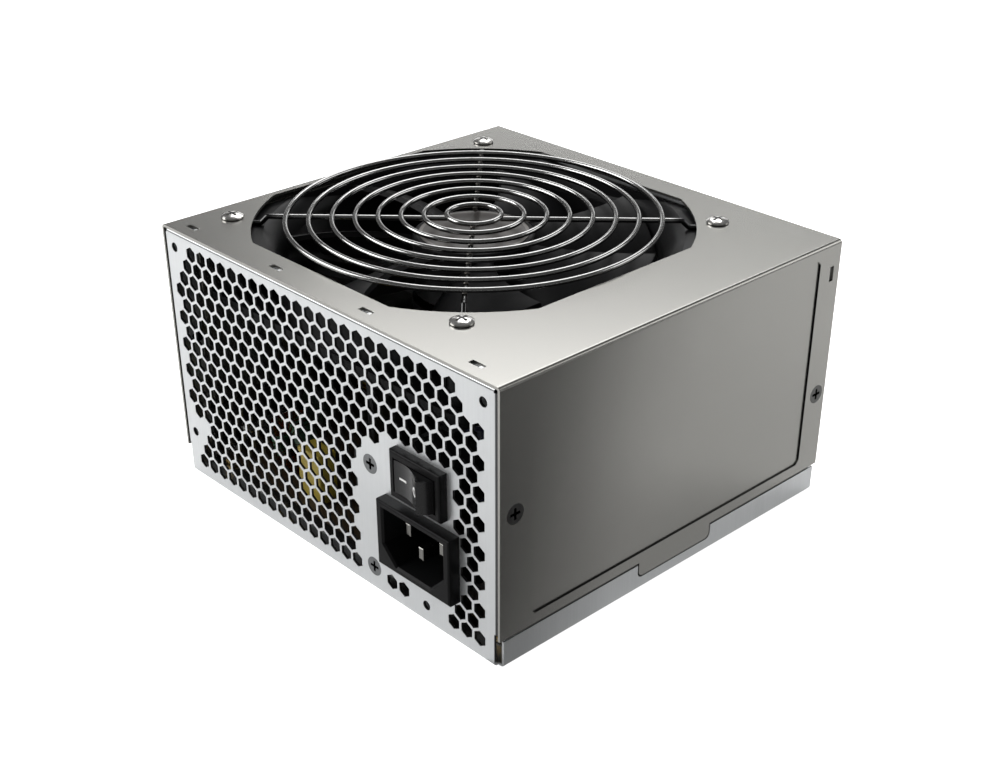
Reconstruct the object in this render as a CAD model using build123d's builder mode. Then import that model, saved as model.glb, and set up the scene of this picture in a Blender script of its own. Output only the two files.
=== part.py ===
"""Desktop computer power supply unit, ATX form factor, with a 120 mm fan in its lid.

A folded steel tray carries the perforated rear panel, the main board and the cable outlet. A
folded steel cover closes it and holds the fan and its wire guard. The rear panel has the mains
inlet and a rocker switch. The frame: X runs along the rear panel, Y from the rear panel to the
front wall, Z up from the underside to the lid; the origin is in the middle of the underside.
"""

import os
from math import cos, radians, sin, sqrt

from build123d import *

os.makedirs("parts", exist_ok=True)

# ---------------------------------------------------------------- driving dimensions, millimetres
case_width = 150.0
case_depth = 140.0
case_height = 86.0
sheet = 0.8  # thickness of all folded steel
bend_radius = 1.2  # outside of a fold
fit_gap = 0.2  # between sheets that nest or meet
touch_gap = 0.1  # between a cover and the flange it is screwed to

fan_size = 120.0
fan_thickness = 25.0
fan_hole_inset = 7.5
fan_left_margin = 3.3  # casing's left side to the fan
fan_rear_margin = 11.0  # rear panel to the fan
guard_wire = 1.6

board_height = 6.0  # underside of the main board above the underside of the case
board_thickness = 1.6
board_side_margin = 5.0
board_end_margin = 6.0

inlet_width = 30.5
inlet_height = 21.2
inlet_proud = 3.9
inlet_from_right = 31.0  # casing's right side to the middle of the inlet
inlet_z = 25.1

switch_width = 20.6
switch_height = 14.8
switch_proud = 2.8
switch_gap = 2.9  # inlet's top edge to the switch's bottom edge

# ---------------------------------------------------------------- derived places
half_width = case_width / 2
half_depth = case_depth / 2
panel_half = half_width - sheet - fit_gap  # the rear panel and front wall stand inside the cover
panel_top = case_height - sheet - touch_gap
rear_y = -half_depth
front_y = half_depth

rear_face = Plane(origin=(0, rear_y, 0), x_dir=(1, 0, 0), z_dir=(0, -1, 0))
front_face = Plane(origin=(0, front_y, 0), x_dir=(-1, 0, 0), z_dir=(0, 1, 0))
right_face = Plane(origin=(half_width, 0, 0), x_dir=(0, 1, 0), z_dir=(1, 0, 0))
lid_face = Plane.XY.offset(case_height)

fan_hole_pitch = fan_size - 2 * fan_hole_inset
fan_x = -half_width + fan_left_margin + fan_size / 2
fan_y = rear_y + fan_rear_margin + fan_size / 2
fan_top = case_height - sheet - guard_wire  # the guard's eyelets lie between the lid and the fan
fan_bottom = fan_top - fan_thickness


def fan_level(z):
    """The plane square to the fan's axis at a height."""
    return Plane(origin=(fan_x, fan_y, z))


fan_corners = [
    (fan_x + i * fan_hole_pitch / 2, fan_y + j * fan_hole_pitch / 2) for i in (-1, 1) for j in (-1, 1)
]

board_top = board_height + board_thickness
board_left = -half_width + board_side_margin
board_right = half_width - board_side_margin
board_rear = rear_y + board_end_margin
board_front = front_y - board_end_margin

inlet_x = half_width - inlet_from_right
switch_x = inlet_x + 0.4
switch_z = inlet_z + inlet_height / 2 + switch_gap + switch_height / 2

BOTTOM = (Align.CENTER, Align.MIN)
STANDING = (Align.CENTER, Align.CENTER, Align.MIN)
HANGING = (Align.CENTER, Align.CENTER, Align.MAX)


def save(part, name):
    """Labels a finished piece and writes it as one STEP."""
    part.label = name
    export_step(part, f"parts/{name}.step")


# ---------------------------------------------------------------- cross-head screws
panel_screw_radius = 3.0
panel_screw_head = 1.3
case_thread_radius = 1.5
fan_screw_radius = 3.4
fan_screw_head = 1.5
fan_thread_radius = 2.1
seat_clearance = 0.03


def cut_cross(radius, height, depth):
    """Cuts a cross recess, tapering downwards, into the screw being built."""
    with BuildSketch(Plane.XY.offset(height)) as cross:
        Rectangle(radius * 1.2, radius * 0.3)
        Rectangle(radius * 0.3, radius * 1.2)
    extrude(cross.sketch, amount=-depth, taper=8, mode=Mode.SUBTRACT)


def flat_screw(length, grow=0.0, recess=True):
    """A countersunk screw along Z with its flat top at z = 0; grown, it is the seat for one."""
    wide = panel_screw_radius + grow
    thin = case_thread_radius + grow
    with BuildPart() as screw:
        with BuildSketch(Plane.XZ):
            with BuildLine():
                Polyline((0, grow), (wide, grow), (wide, -0.2), (thin, -panel_screw_head), (thin, -length))
                Polyline((thin, -length), (0, -length), (0, grow))
            make_face()
        revolve(axis=Axis.Z)
        if recess:
            cut_cross(panel_screw_radius, 0, panel_screw_head * 0.7)
    return screw.part


def pan_screw(head_radius, head_height, shank_radius, length):
    """A pan-head screw along Z with the seat of its head at z = 0."""
    edge = head_height * 0.45
    with BuildPart() as screw:
        with BuildSketch(Plane.XZ):
            with BuildLine():
                ThreePointArc((0, head_height), (head_radius * 0.62, head_height * 0.88), (head_radius, edge))
                Polyline((head_radius, edge), (head_radius, 0), (shank_radius, 0), (shank_radius, -length))
                Polyline((shank_radius, -length), (0, -length), (0, head_height))
            make_face()
        revolve(axis=Axis.Z)
        cut_cross(head_radius, head_height, head_height * 0.7)
    return screw.part


side_screw = flat_screw(5.0)
side_screw_seat = flat_screw(12.0, grow=seat_clearance, recess=False)

# side screws as (y, z), the same on both sides, into the flanges of the rear panel and front wall
side_screw_places = [(rear_y + 5.5, case_height - 38.3), (front_y - 4.3, case_height - 50.3)]
side_screw_planes = [
    Plane(origin=(side * half_width, y, z), x_dir=(0, side, 0), z_dir=(side, 0, 0))
    for side in (-1, 1)
    for y, z in side_screw_places
]

# ---------------------------------------------------------------- steel tray with the rear panel
flange_depth = 9.0
lip_height = 8.6
lip_half_length = half_depth - bend_radius - 0.3
split_height = lip_height + 0.7  # lower edge of the cover's sides
tongue_width = 31.5
tongue_y = 1.3  # middle of the tongue, along Y
tongue_bottom = 4.5
tongue_gap = 0.45
flange_bottom = split_height + 1.5
collar_length = 1.8
collar_wall = 1.2

slot_length = 5.0
slot_width = 1.9
slot_y = rear_y + 5.0
slot_places = [-half_width + 9.5, -half_width + 52.0, half_width - 57.5, half_width - 13.5]
hook_length = 1.4
hook_width = 1.2
hook_height = 0.5
hook_relief = 2.9  # length of the opening in the flange beside each hook

# the four mounting holes of the form factor, as (x, z)
mount_edge = 6.0
mount_hole_radius = 1.5
mount_holes = [
    (-half_width + mount_edge, case_height - mount_edge),
    (half_width - mount_edge, case_height - mount_edge),
    (-half_width + mount_edge, 16.0),
    (half_width - 30.0, mount_edge),
]
bracket_screw_places = [(switch_x - 22.1, switch_z - 3.5), (switch_x - 22.4, 8.0)]

# honeycomb of the rear panel
vent_pitch = 5.305
vent_flats = 4.4
vent_row_step = vent_pitch * sqrt(3) / 2
vent_first = (-half_width + 4.15, case_height - 6.0)
vent_side_margin = 6.0
vent_floor_margin = 5.0
vent_round_clear = 7.5  # round the mounting holes and screws

# cable outlet in the front wall
outlet_x = -half_width + 28.0
outlet_z = 33.0
outlet_radius = 12.0

inlet_body = (26.8, 19.4)
switch_body = (19.0, 13.0)
cutout_gap = 0.1


def vent_is_clear(x, z):
    """True where a honeycomb cell stays clear of the edges, holes, screws, inlet and switch."""
    if abs(x) > half_width - vent_side_margin or z < vent_floor_margin:
        return False
    for hole_x, hole_z in mount_holes + bracket_screw_places:
        if sqrt((x - hole_x) ** 2 + (z - hole_z) ** 2) < vent_round_clear:
            return False
    if inlet_x - 28.5 < x < inlet_x + inlet_width / 2 + 1.0 and abs(z - inlet_z) < inlet_height / 2:
        return False
    low = inlet_z - inlet_height / 2 - 3.6
    high = switch_z + switch_height / 2 + 1.0
    return not (switch_x - 16.5 < x < switch_x + switch_width / 2 + 3.1 and low < z < high)


vent_places = []
for vent_row in range(int(case_height / vent_row_step)):
    vent_z = vent_first[1] - vent_row * vent_row_step
    for vent_column in range(int(case_width / vent_pitch) + 1):
        vent_x = vent_first[0] + (vent_column - (vent_row % 2) / 2) * vent_pitch
        if vent_is_clear(vent_x, vent_z):
            vent_places.append((vent_x, vent_z))


def folded_band(width, height, low_radius, high_radius):
    """A folded sheet's rectangular section with rounded corners, standing on the sketch's origin."""
    with BuildSketch(mode=Mode.PRIVATE) as outside:
        Rectangle(width, height, align=BOTTOM)
        fillet(outside.vertices().group_by(Axis.Y)[0], low_radius)
        fillet(outside.vertices().group_by(Axis.Y)[-1], high_radius)
    with BuildSketch(mode=Mode.PRIVATE) as inside:
        with Locations((0, sheet)):
            Rectangle(width - 2 * sheet, height - 2 * sheet, align=BOTTOM)
        fillet(inside.vertices().group_by(Axis.Y)[0], low_radius - sheet)
        fillet(inside.vertices().group_by(Axis.Y)[-1], high_radius - sheet)
    add(outside.sketch)
    add(inside.sketch, mode=Mode.SUBTRACT)


with BuildPart() as base_chassis:
    # floor, rear panel, front wall and the flanges along their tops
    with BuildSketch(Plane.YZ):
        folded_band(case_depth, panel_top, bend_radius, bend_radius)
        with Locations((0, panel_top)):
            Rectangle(case_depth - 2 * flange_depth, 4 * sheet, mode=Mode.SUBTRACT)
    extrude(amount=panel_half - bend_radius, both=True)
    # flanges along the sides of the rear panel and front wall
    with BuildSketch(Plane.XY.offset(flange_bottom)) as side_flanges:
        Rectangle(2 * panel_half, case_depth)
        fillet(side_flanges.vertices(), bend_radius)
        Rectangle(2 * (panel_half - sheet), case_depth - 2 * sheet, mode=Mode.SUBTRACT)
        Rectangle(case_width, case_depth - 2 * flange_depth, mode=Mode.SUBTRACT)
    extrude(amount=panel_top - bend_radius - flange_bottom)
    # floor with a low lip along each side, flush with the cover above it
    with BuildSketch(Plane.XZ):
        folded_band(case_width, case_height, bend_radius, bend_radius)
        with Locations((0, lip_height)):
            Rectangle(case_width, case_height, align=BOTTOM, mode=Mode.SUBTRACT)
    extrude(amount=lip_half_length, both=True)
    # notches in the lips for the cover's tongues
    with BuildSketch(Plane.YZ) as tongue_notch:
        with Locations((tongue_y, tongue_bottom - tongue_gap)):
            Rectangle(tongue_width + 2 * tongue_gap, lip_height, align=BOTTOM)
        fillet(tongue_notch.vertices().group_by(Axis.Y)[0], 2.0)
    extrude(amount=case_width, both=True, mode=Mode.SUBTRACT)
    # collars drawn inwards round the threaded holes
    for hole_x, hole_z in mount_holes:
        with Locations(Plane(origin=(hole_x, rear_y + sheet, hole_z), z_dir=(0, 1, 0))):
            Cylinder(mount_hole_radius + collar_wall, collar_length, align=STANDING)
    for plane in side_screw_planes:
        with Locations(plane.offset(-2 * sheet - fit_gap)):
            Cylinder(case_thread_radius + collar_wall, collar_length, align=HANGING)
    # a hook at one end of each of the lid's slots, bent up from an opening in the flange
    with Locations(*[(x + (slot_length - hook_length) / 2 - 0.3, slot_y, panel_top) for x in slot_places]):
        Box(hook_length, hook_width, hook_height, align=STANDING)
    with Locations(*[(x - (slot_length - hook_relief) / 2, slot_y, panel_top) for x in slot_places]):
        Box(hook_relief, slot_width, 4 * sheet, mode=Mode.SUBTRACT)
    # holes, cut-outs and the honeycomb
    with Locations(*side_screw_planes):
        add(side_screw_seat, mode=Mode.SUBTRACT)
    with Locations(*[Plane(origin=(x, rear_y, z), z_dir=(0, -1, 0)) for x, z in bracket_screw_places]):
        add(side_screw_seat, mode=Mode.SUBTRACT)
    with BuildSketch(rear_face):
        with Locations(*mount_holes):
            Circle(mount_hole_radius)
    extrude(amount=-6, mode=Mode.SUBTRACT)
    with BuildSketch(rear_face):
        with Locations((inlet_x, inlet_z)):
            Rectangle(inlet_body[0] + 2 * cutout_gap, inlet_body[1] + 2 * cutout_gap)
        with Locations((switch_x, switch_z)):
            Rectangle(switch_body[0] + 2 * cutout_gap, switch_body[1] + 2 * cutout_gap)
        with Locations(*vent_places):
            RegularPolygon(vent_flats / 2, 6, major_radius=False, rotation=30)
    extrude(amount=-2 * sheet, mode=Mode.SUBTRACT)
    with BuildSketch(front_face):
        with Locations((-outlet_x, outlet_z)):
            Circle(outlet_radius)
    extrude(amount=-2 * sheet, mode=Mode.SUBTRACT)
save(base_chassis.part, "base_chassis")

# ---------------------------------------------------------------- cover with the fan opening
lid_opening_radius = fan_hole_pitch / sqrt(2) - 6.55  # the opening's rounded corners stop short of the screws
fan_screw_hole = fan_thread_radius + 0.15
side_slot = (front_y - 3.7, case_height - 10.0)
side_slot_size = (1.8, 4.8)
recess_step = 0.5
recess_rear = rear_y + 11.8
recess_front = front_y - 9.8
recess_bottom = 12.8
recess_top = case_height - 4.0

with BuildPart() as top_cover:
    with BuildSketch(Plane.XZ):
        folded_band(case_width, case_height, bend_radius, bend_radius)
        Rectangle(case_width, split_height, align=BOTTOM, mode=Mode.SUBTRACT)
    extrude(amount=half_depth, both=True)
    # tongues that drop into the tray's lips
    with BuildSketch(Plane.YZ) as tongue:
        with Locations((tongue_y, tongue_bottom)):
            Rectangle(tongue_width, split_height - tongue_bottom + 1.0, align=BOTTOM)
        fillet(tongue.vertices().group_by(Axis.Y)[0], 1.8)
    extrude(amount=half_width, both=True)
    Box(case_width - 2 * sheet, case_depth, split_height + 1, align=STANDING, mode=Mode.SUBTRACT)
    # pressed panels in the sides
    for side in (-1, 1):
        with BuildSketch(Plane.YZ.offset(side * (half_width - sheet))):
            with Locations(((recess_rear + recess_front) / 2, (recess_bottom + recess_top) / 2)):
                RectangleRounded(recess_front - recess_rear + 0.8, recess_top - recess_bottom + 0.8, 2.4)
        extrude(amount=-side * recess_step)
        with BuildSketch(Plane.YZ.offset(side * half_width)):
            with Locations(((recess_rear + recess_front) / 2, (recess_bottom + recess_top) / 2)):
                RectangleRounded(recess_front - recess_rear, recess_top - recess_bottom, 2.0)
        extrude(amount=-side * recess_step, mode=Mode.SUBTRACT)
    with Locations(*side_screw_planes):
        add(side_screw_seat, mode=Mode.SUBTRACT)
    with BuildSketch(Plane.YZ):
        with Locations(side_slot):
            Rectangle(*side_slot_size)
    extrude(amount=case_width, both=True, mode=Mode.SUBTRACT)
    # fan opening, screw holes and slots in the lid
    with BuildSketch(lid_face):
        with Locations((fan_x, fan_y)):
            Circle(lid_opening_radius)
            Rectangle(fan_size, fan_size, mode=Mode.INTERSECT)
        with Locations(*fan_corners):
            Circle(fan_screw_hole)
        with Locations(*[(x, slot_y) for x in slot_places]):
            Rectangle(slot_length, slot_width)
    extrude(amount=-2 * sheet, mode=Mode.SUBTRACT)
save(top_cover.part, "top_cover")

with BuildPart() as cover_screws:
    with Locations(*side_screw_planes):
        add(side_screw)
save(cover_screws.part, "cover_screws")

with BuildPart() as panel_screws:
    with Locations(*[Plane(origin=(x, rear_y, z), z_dir=(0, -1, 0)) for x, z in bracket_screw_places]):
        add(side_screw)
save(panel_screws.part, "panel_screws")

with BuildPart() as fan_screws:
    with Locations(*[(x, y, case_height) for x, y in fan_corners]):
        add(pan_screw(fan_screw_radius, fan_screw_head, fan_thread_radius, 8.0))
save(fan_screws.part, "fan_screws")

# ---------------------------------------------------------------- wire guard over the fan
guard_rings = 8
guard_first_ring = 8.3
guard_ring_step = (fan_size / 2 - 2.7 - guard_first_ring) / (guard_rings - 1)
guard_rise = 1.9  # the rings stand above the lid
weld_overlap = 0.2
screw_circle = fan_hole_pitch / sqrt(2)
wire = guard_wire / 2
ring_z = case_height + guard_rise
spoke_z = ring_z - guard_wire + weld_overlap
eyelet_z = fan_top + wire
eyelet_radius = fan_thread_radius + wire + 0.2

with BuildPart() as guard_spoke:
    with BuildLine(Plane.XZ):
        FilletPolyline(
            (guard_first_ring - 0.4, spoke_z),
            (screw_circle - 10.8, spoke_z),
            (screw_circle - 8.7, eyelet_z),
            (screw_circle - eyelet_radius, eyelet_z),
            radius=1.4,
        )
    with BuildSketch(Plane(origin=(guard_first_ring - 0.4, 0, spoke_z), x_dir=(0, 1, 0), z_dir=(1, 0, 0))):
        Circle(wire)
    sweep()
    with Locations((screw_circle, 0, eyelet_z)):
        Torus(eyelet_radius, wire)

with BuildPart() as fan_guard:
    with Locations((fan_x, fan_y, ring_z)):
        for ring in range(guard_rings):
            Torus(guard_first_ring + ring * guard_ring_step, wire)
    with Locations((fan_x, fan_y)):
        with PolarLocations(0, 4, start_angle=45):
            add(guard_spoke.part)
save(fan_guard.part, "fan_guard")

# ---------------------------------------------------------------- fan frame
fan_tip_gap = 1.0
duct_radius = fan_size / 2 - 1.8
duct_wall = 1.6
fan_flange = 4.0
fan_corner_radius = 5.0
flare_depth = 7.0
flare_radius = fan_size / 2 + 4.5
hub_radius = 19.0
base_radius = hub_radius + 0.5
base_thickness = 3.0
strut_count = 4
strut_width = 5.0
bearing_tube_radius = 5.0
bearing_tube_wall = 1.0
rotor_top = fan_top - 1.3
rotor_bottom = rotor_top - 18.0
hub_cap = 1.5
cap_underside = rotor_top - hub_cap
bearing_tube_top = cap_underside - 4.8

with BuildPart() as flare_tool:
    with BuildSketch(Plane.XZ):
        with BuildLine():
            Polyline((0, fan_top + 1), (flare_radius + 0.7, fan_top + 1), (flare_radius, fan_top))
            ThreePointArc(
                (flare_radius, fan_top),
                (duct_radius + 1.9, fan_top - flare_depth * 0.45),
                (duct_radius, fan_top - flare_depth),
            )
            Polyline((duct_radius, fan_top - flare_depth), (0, fan_top - flare_depth), (0, fan_top + 1))
        make_face()
    revolve(axis=Axis.Z)
    with Locations((0, 0, fan_top)):
        Box(fan_size - 1.6, fan_size - 1.6, 4 * flare_depth, mode=Mode.INTERSECT)

with BuildPart() as fan_frame:
    for level in (fan_bottom, fan_top - fan_flange):
        with BuildSketch(fan_level(level)):
            RectangleRounded(fan_size, fan_size, fan_corner_radius)
        extrude(amount=fan_flange)
    with BuildSketch(fan_level(fan_bottom)):
        Circle(duct_radius + duct_wall)
        with GridLocations(fan_hole_pitch, fan_hole_pitch, 2, 2):
            Circle(fan_thread_radius + 2.0)
    extrude(amount=fan_thickness)
    with BuildSketch(fan_level(fan_bottom)):
        Circle(duct_radius)
        with GridLocations(fan_hole_pitch, fan_hole_pitch, 2, 2):
            Circle(fan_thread_radius + 0.05)
    extrude(amount=fan_thickness, mode=Mode.SUBTRACT)
    with Locations((fan_x, fan_y)):
        add(flare_tool.part, mode=Mode.SUBTRACT)
    # motor base on its struts
    with BuildSketch(fan_level(fan_bottom)):
        Circle(base_radius)
        with PolarLocations(0, strut_count, start_angle=20):
            with Locations(((base_radius + duct_radius) / 2, 0)):
                Rectangle(duct_radius - base_radius + 2, strut_width)
    extrude(amount=base_thickness)
    with BuildSketch(fan_level(fan_bottom + base_thickness)):
        Circle(bearing_tube_radius)
        Circle(bearing_tube_radius - bearing_tube_wall, mode=Mode.SUBTRACT)
    extrude(amount=bearing_tube_top - fan_bottom - base_thickness)
save(fan_frame.part, "fan_frame")

# ---------------------------------------------------------------- fan motor: what stands still
shaft_radius = 1.5
shaft_clearance = 0.05
hub_wall = 1.2
yoke_wall = 1.0
magnet_wall = 1.5
stator_radius = hub_radius - hub_wall - yoke_wall - magnet_wall - 0.5
stator_bottom = rotor_bottom + 1.7
stator_height = 8.0
stator_poles = 4
pole_width = 4.0
pole_shoe = 2.6
driver_thickness = 1.2

with BuildPart() as fan_bearing:
    with BuildSketch(fan_level(fan_bottom + base_thickness + 1.0)):
        Circle(bearing_tube_radius - bearing_tube_wall)
        Circle(shaft_radius + shaft_clearance, mode=Mode.SUBTRACT)
    extrude(amount=bearing_tube_top - fan_bottom - base_thickness - 1.4)
save(fan_bearing.part, "fan_bearing")

with BuildPart() as fan_driver_board:
    with BuildSketch(fan_level(fan_bottom + base_thickness)):
        Circle(stator_radius + 1.0)
        Circle(bearing_tube_radius, mode=Mode.SUBTRACT)
    extrude(amount=driver_thickness)
save(fan_driver_board.part, "fan_driver_board")

with BuildPart() as fan_stator_core:
    with BuildSketch(fan_level(stator_bottom)):
        Circle(stator_radius)
        Circle(stator_radius - pole_shoe, mode=Mode.SUBTRACT)
        with PolarLocations(stator_radius, stator_poles, start_angle=45):
            Rectangle(8, 5, mode=Mode.SUBTRACT)
        Circle(bearing_tube_radius + 2.0)
        with PolarLocations(stator_radius / 2, stator_poles):
            Rectangle(stator_radius - 1.0, pole_width)
        Circle(bearing_tube_radius, mode=Mode.SUBTRACT)
    extrude(amount=stator_height)
save(fan_stator_core.part, "fan_stator_core")

with BuildPart() as pole_coil:
    coil_length = stator_radius - pole_shoe - bearing_tube_radius - 2.0 - 1.4
    with Locations((bearing_tube_radius + 2.4 + coil_length / 2, 0, stator_bottom + stator_height / 2)):
        Box(coil_length, pole_width + 3.2, stator_height + 3.2)
        fillet(pole_coil.edges().filter_by(Axis.X), 1.4)
        Box(coil_length, pole_width + 0.1, stator_height + 0.1, mode=Mode.SUBTRACT)

with BuildPart() as fan_windings:
    with Locations((fan_x, fan_y)):
        with PolarLocations(0, stator_poles):
            add(pole_coil.part)
save(fan_windings.part, "fan_windings")

# ---------------------------------------------------------------- fan rotor: what turns
blade_count = 7
blade_tip_radius = duct_radius - fan_tip_gap
blade_z = rotor_bottom + 8.6
# radius, chord, pitch above the plane of the fan, forward sweep, thickness, camber
blade_sections = [
    (hub_radius - 4.5, 21.0, 46.0, 0.0, 2.0, 2.0),
    (0.5 * (hub_radius + blade_tip_radius), 31.0, 35.0, 4.0, 1.7, 2.6),
    (blade_tip_radius + 0.5, 42.0, 26.0, 11.0, 1.3, 2.8),
]

with BuildPart() as blade:
    for radius, chord, pitch, swept, thick, camber in blade_sections:
        turn = radians(swept)
        tilt = radians(pitch)
        radial = (cos(turn), sin(turn), 0)
        along = (-sin(turn) * cos(tilt), cos(turn) * cos(tilt), sin(tilt))
        origin = (radius * cos(turn), radius * sin(turn), blade_z)
        with BuildSketch(Plane(origin=origin, x_dir=along, z_dir=radial)):
            with BuildLine():
                ThreePointArc((-chord / 2, thick / 2), (0, camber + thick / 2), (chord / 2, thick / 2))
                Line((chord / 2, thick / 2), (chord / 2, -thick / 2))
                ThreePointArc((chord / 2, -thick / 2), (0, camber - thick / 2), (-chord / 2, -thick / 2))
                Line((-chord / 2, -thick / 2), (-chord / 2, thick / 2))
            make_face()
    loft()
    with BuildSketch(Plane.XY.offset(fan_bottom)):
        Circle(blade_tip_radius)
        Circle(hub_radius - 0.6, mode=Mode.SUBTRACT)
    extrude(amount=fan_thickness, mode=Mode.INTERSECT)

with BuildPart() as fan_rotor:
    with BuildSketch(fan_level(rotor_bottom)):
        Circle(hub_radius)
    extrude(amount=rotor_top - rotor_bottom)
    fillet(fan_rotor.edges().group_by(Axis.Z)[-1], 1.2)
    with Locations((fan_x, fan_y)):
        with PolarLocations(0, blade_count):
            add(blade.part)
    with BuildSketch(fan_level(rotor_bottom - 2)):
        Circle(hub_radius - hub_wall)
    extrude(amount=cap_underside - rotor_bottom + 2, mode=Mode.SUBTRACT)
    with BuildSketch(fan_level(cap_underside - 3.6)):
        Circle(shaft_radius + 2.0)
    extrude(amount=4.0)
    with BuildSketch(fan_level(cap_underside - 4)):
        Circle(shaft_radius)
    extrude(amount=4.6, mode=Mode.SUBTRACT)
save(fan_rotor.part, "fan_rotor")

with BuildPart() as fan_rotor_label:
    with BuildSketch(fan_level(rotor_top)):
        Circle(hub_radius - 2.0)
    extrude(amount=0.15)
save(fan_rotor_label.part, "fan_rotor_label")

with BuildPart() as fan_yoke:
    with BuildSketch(fan_level(rotor_bottom)):
        Circle(hub_radius - hub_wall)
        Circle(hub_radius - hub_wall - yoke_wall, mode=Mode.SUBTRACT)
    extrude(amount=cap_underside - rotor_bottom)
save(fan_yoke.part, "fan_yoke")

with BuildPart() as fan_magnet:
    with BuildSketch(fan_level(rotor_bottom + 0.6)):
        Circle(hub_radius - hub_wall - yoke_wall)
        Circle(hub_radius - hub_wall - yoke_wall - magnet_wall, mode=Mode.SUBTRACT)
    extrude(amount=11.0)
save(fan_magnet.part, "fan_magnet")

with BuildPart() as fan_shaft:
    with Locations((fan_x, fan_y, fan_bottom + base_thickness + 0.3)):
        Cylinder(shaft_radius, cap_underside + 0.6 - fan_bottom - base_thickness - 0.3, align=STANDING)
save(fan_shaft.part, "fan_shaft")

with BuildPart() as fan_retaining_clip:
    with BuildSketch(fan_level(fan_bottom + base_thickness + 0.35)):
        Circle(shaft_radius + 1.0)
        Circle(shaft_radius, mode=Mode.SUBTRACT)
        with Locations((2.0, 0)):
            Rectangle(2.0, 1.2, mode=Mode.SUBTRACT)
    extrude(amount=0.3)
save(fan_retaining_clip.part, "fan_retaining_clip")

# ---------------------------------------------------------------- mains inlet in the rear panel
inlet_depth = 16.0  # from the inlet's face to the floor of its socket
inlet_back = 20.0
socket_width = 25.0
socket_height = 16.8
socket_cut = 5.5
socket_lead_in = 0.6
bezel_fillet = 0.7
pin_size = (2.0, 4.0)
line_pin_x = 7.0
line_pin_z = 2.1
earth_pin_z = -1.9
earth_pin_lead = 1.5
pin_setback = 4.6
terminal_size = (0.8, 6.3)
terminal_length = 8.0
inlet_face = rear_y - inlet_proud
socket_floor = inlet_face + inlet_depth
inlet_rear_end = inlet_face + inlet_back
pin_places = [
    (-line_pin_x, line_pin_z, 0.0),
    (0.0, earth_pin_z, earth_pin_lead),
    (line_pin_x, line_pin_z, 0.0),
]


def facing_rear(x, y, z):
    """A plane facing out of the rear panel, with X to its right and Z up."""
    return Plane(origin=(x, y, z), x_dir=(1, 0, 0), z_dir=(0, -1, 0))


with BuildPart() as inlet_housing:
    with BuildSketch(facing_rear(inlet_x, rear_y, inlet_z)):
        Rectangle(inlet_width, inlet_height)
    extrude(amount=inlet_proud)
    fillet(inlet_housing.edges().group_by(Axis.Y)[0], bezel_fillet)
    with BuildSketch(facing_rear(inlet_x, rear_y, inlet_z)):
        Rectangle(*inlet_body)
    extrude(amount=-(inlet_back - inlet_proud))
    with BuildSketch(facing_rear(inlet_x, inlet_face, inlet_z)) as socket:
        Rectangle(socket_width, socket_height)
        chamfer(socket.vertices().group_by(Axis.Y)[0], socket_cut)
    extrude(amount=-inlet_depth, mode=Mode.SUBTRACT)
    mouth = inlet_housing.faces().sort_by(Axis.Y)[0].inner_wires()[0]
    chamfer(mouth.edges(), socket_lead_in)
    with BuildSketch(facing_rear(inlet_x, socket_floor, inlet_z)):
        with Locations(*[(x, z) for x, z, lead in pin_places]):
            Rectangle(*pin_size)
    extrude(amount=-inlet_back, mode=Mode.SUBTRACT)
save(inlet_housing.part, "inlet_housing")

with BuildPart() as inlet_pins:
    for pin_x, pin_z, lead in pin_places:
        with BuildSketch(facing_rear(inlet_x + pin_x, inlet_rear_end, inlet_z + pin_z)):
            Rectangle(*pin_size)
        extrude(amount=inlet_back - pin_setback + lead)
    fillet(inlet_pins.edges().group_by(Axis.Y)[0], 0.5)
    fillet(inlet_pins.edges().filter_by(lambda e: abs(e.center().Y - inlet_face - pin_setback) < 0.01), 0.5)
    for pin_x, pin_z, lead in pin_places:
        with BuildSketch(facing_rear(inlet_x + pin_x, inlet_rear_end, inlet_z + pin_z)):
            Rectangle(*terminal_size)
            Circle(1.0, mode=Mode.PRIVATE)
        extrude(amount=-terminal_length)
save(inlet_pins.part, "inlet_pins")

# ---------------------------------------------------------------- rocker switch
rocker_radius = 8.3
rocker_lip = 5.0  # rim of the rocker above its pivot
rocker_dish = 3.4  # lowest point of its hollow face above the pivot
rocker_sole = 3.0
rocker_half_width = 5.1
rocker_tilt = 15.0
trunnion_radius = 1.0
trunnion_length = 1.0
switch_opening = (2 * rocker_radius + 0.7, 2 * rocker_half_width + 0.5)
switch_well = 6.6  # depth of the opening behind the panel
switch_back = 16.0
rocker_at_rest = Plane(origin=(switch_x, rear_y, switch_z), x_dir=(1, 0, 0), z_dir=(0, 0, 1)).rotated(
    (0, 0, -rocker_tilt)
)
# on this plane x runs along the rocker and -y points out of it
rim_half = sqrt(rocker_radius**2 - rocker_lip**2)
sole_half = sqrt(rocker_radius**2 - rocker_sole**2)
dish_line = [(-rim_half, -rocker_lip), (0, -rocker_dish), (rim_half, -rocker_lip)]

with BuildPart() as switch_housing:
    with BuildSketch(facing_rear(switch_x, rear_y, switch_z)):
        Rectangle(switch_width, switch_height)
    extrude(amount=switch_proud)
    fillet(switch_housing.edges().group_by(Axis.Y)[0], bezel_fillet)
    with BuildSketch(facing_rear(switch_x, rear_y, switch_z)):
        Rectangle(*switch_body)
    extrude(amount=-switch_back)
    with BuildSketch(facing_rear(switch_x, rear_y - switch_proud, switch_z)):
        Rectangle(*switch_opening)
    extrude(amount=-switch_proud - switch_well, mode=Mode.SUBTRACT)
    with Locations((switch_x, rear_y, switch_z)):
        Cylinder(trunnion_radius + 0.05, 2 * (rocker_half_width + trunnion_length + 0.2), mode=Mode.SUBTRACT)
save(switch_housing.part, "switch_housing")

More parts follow.
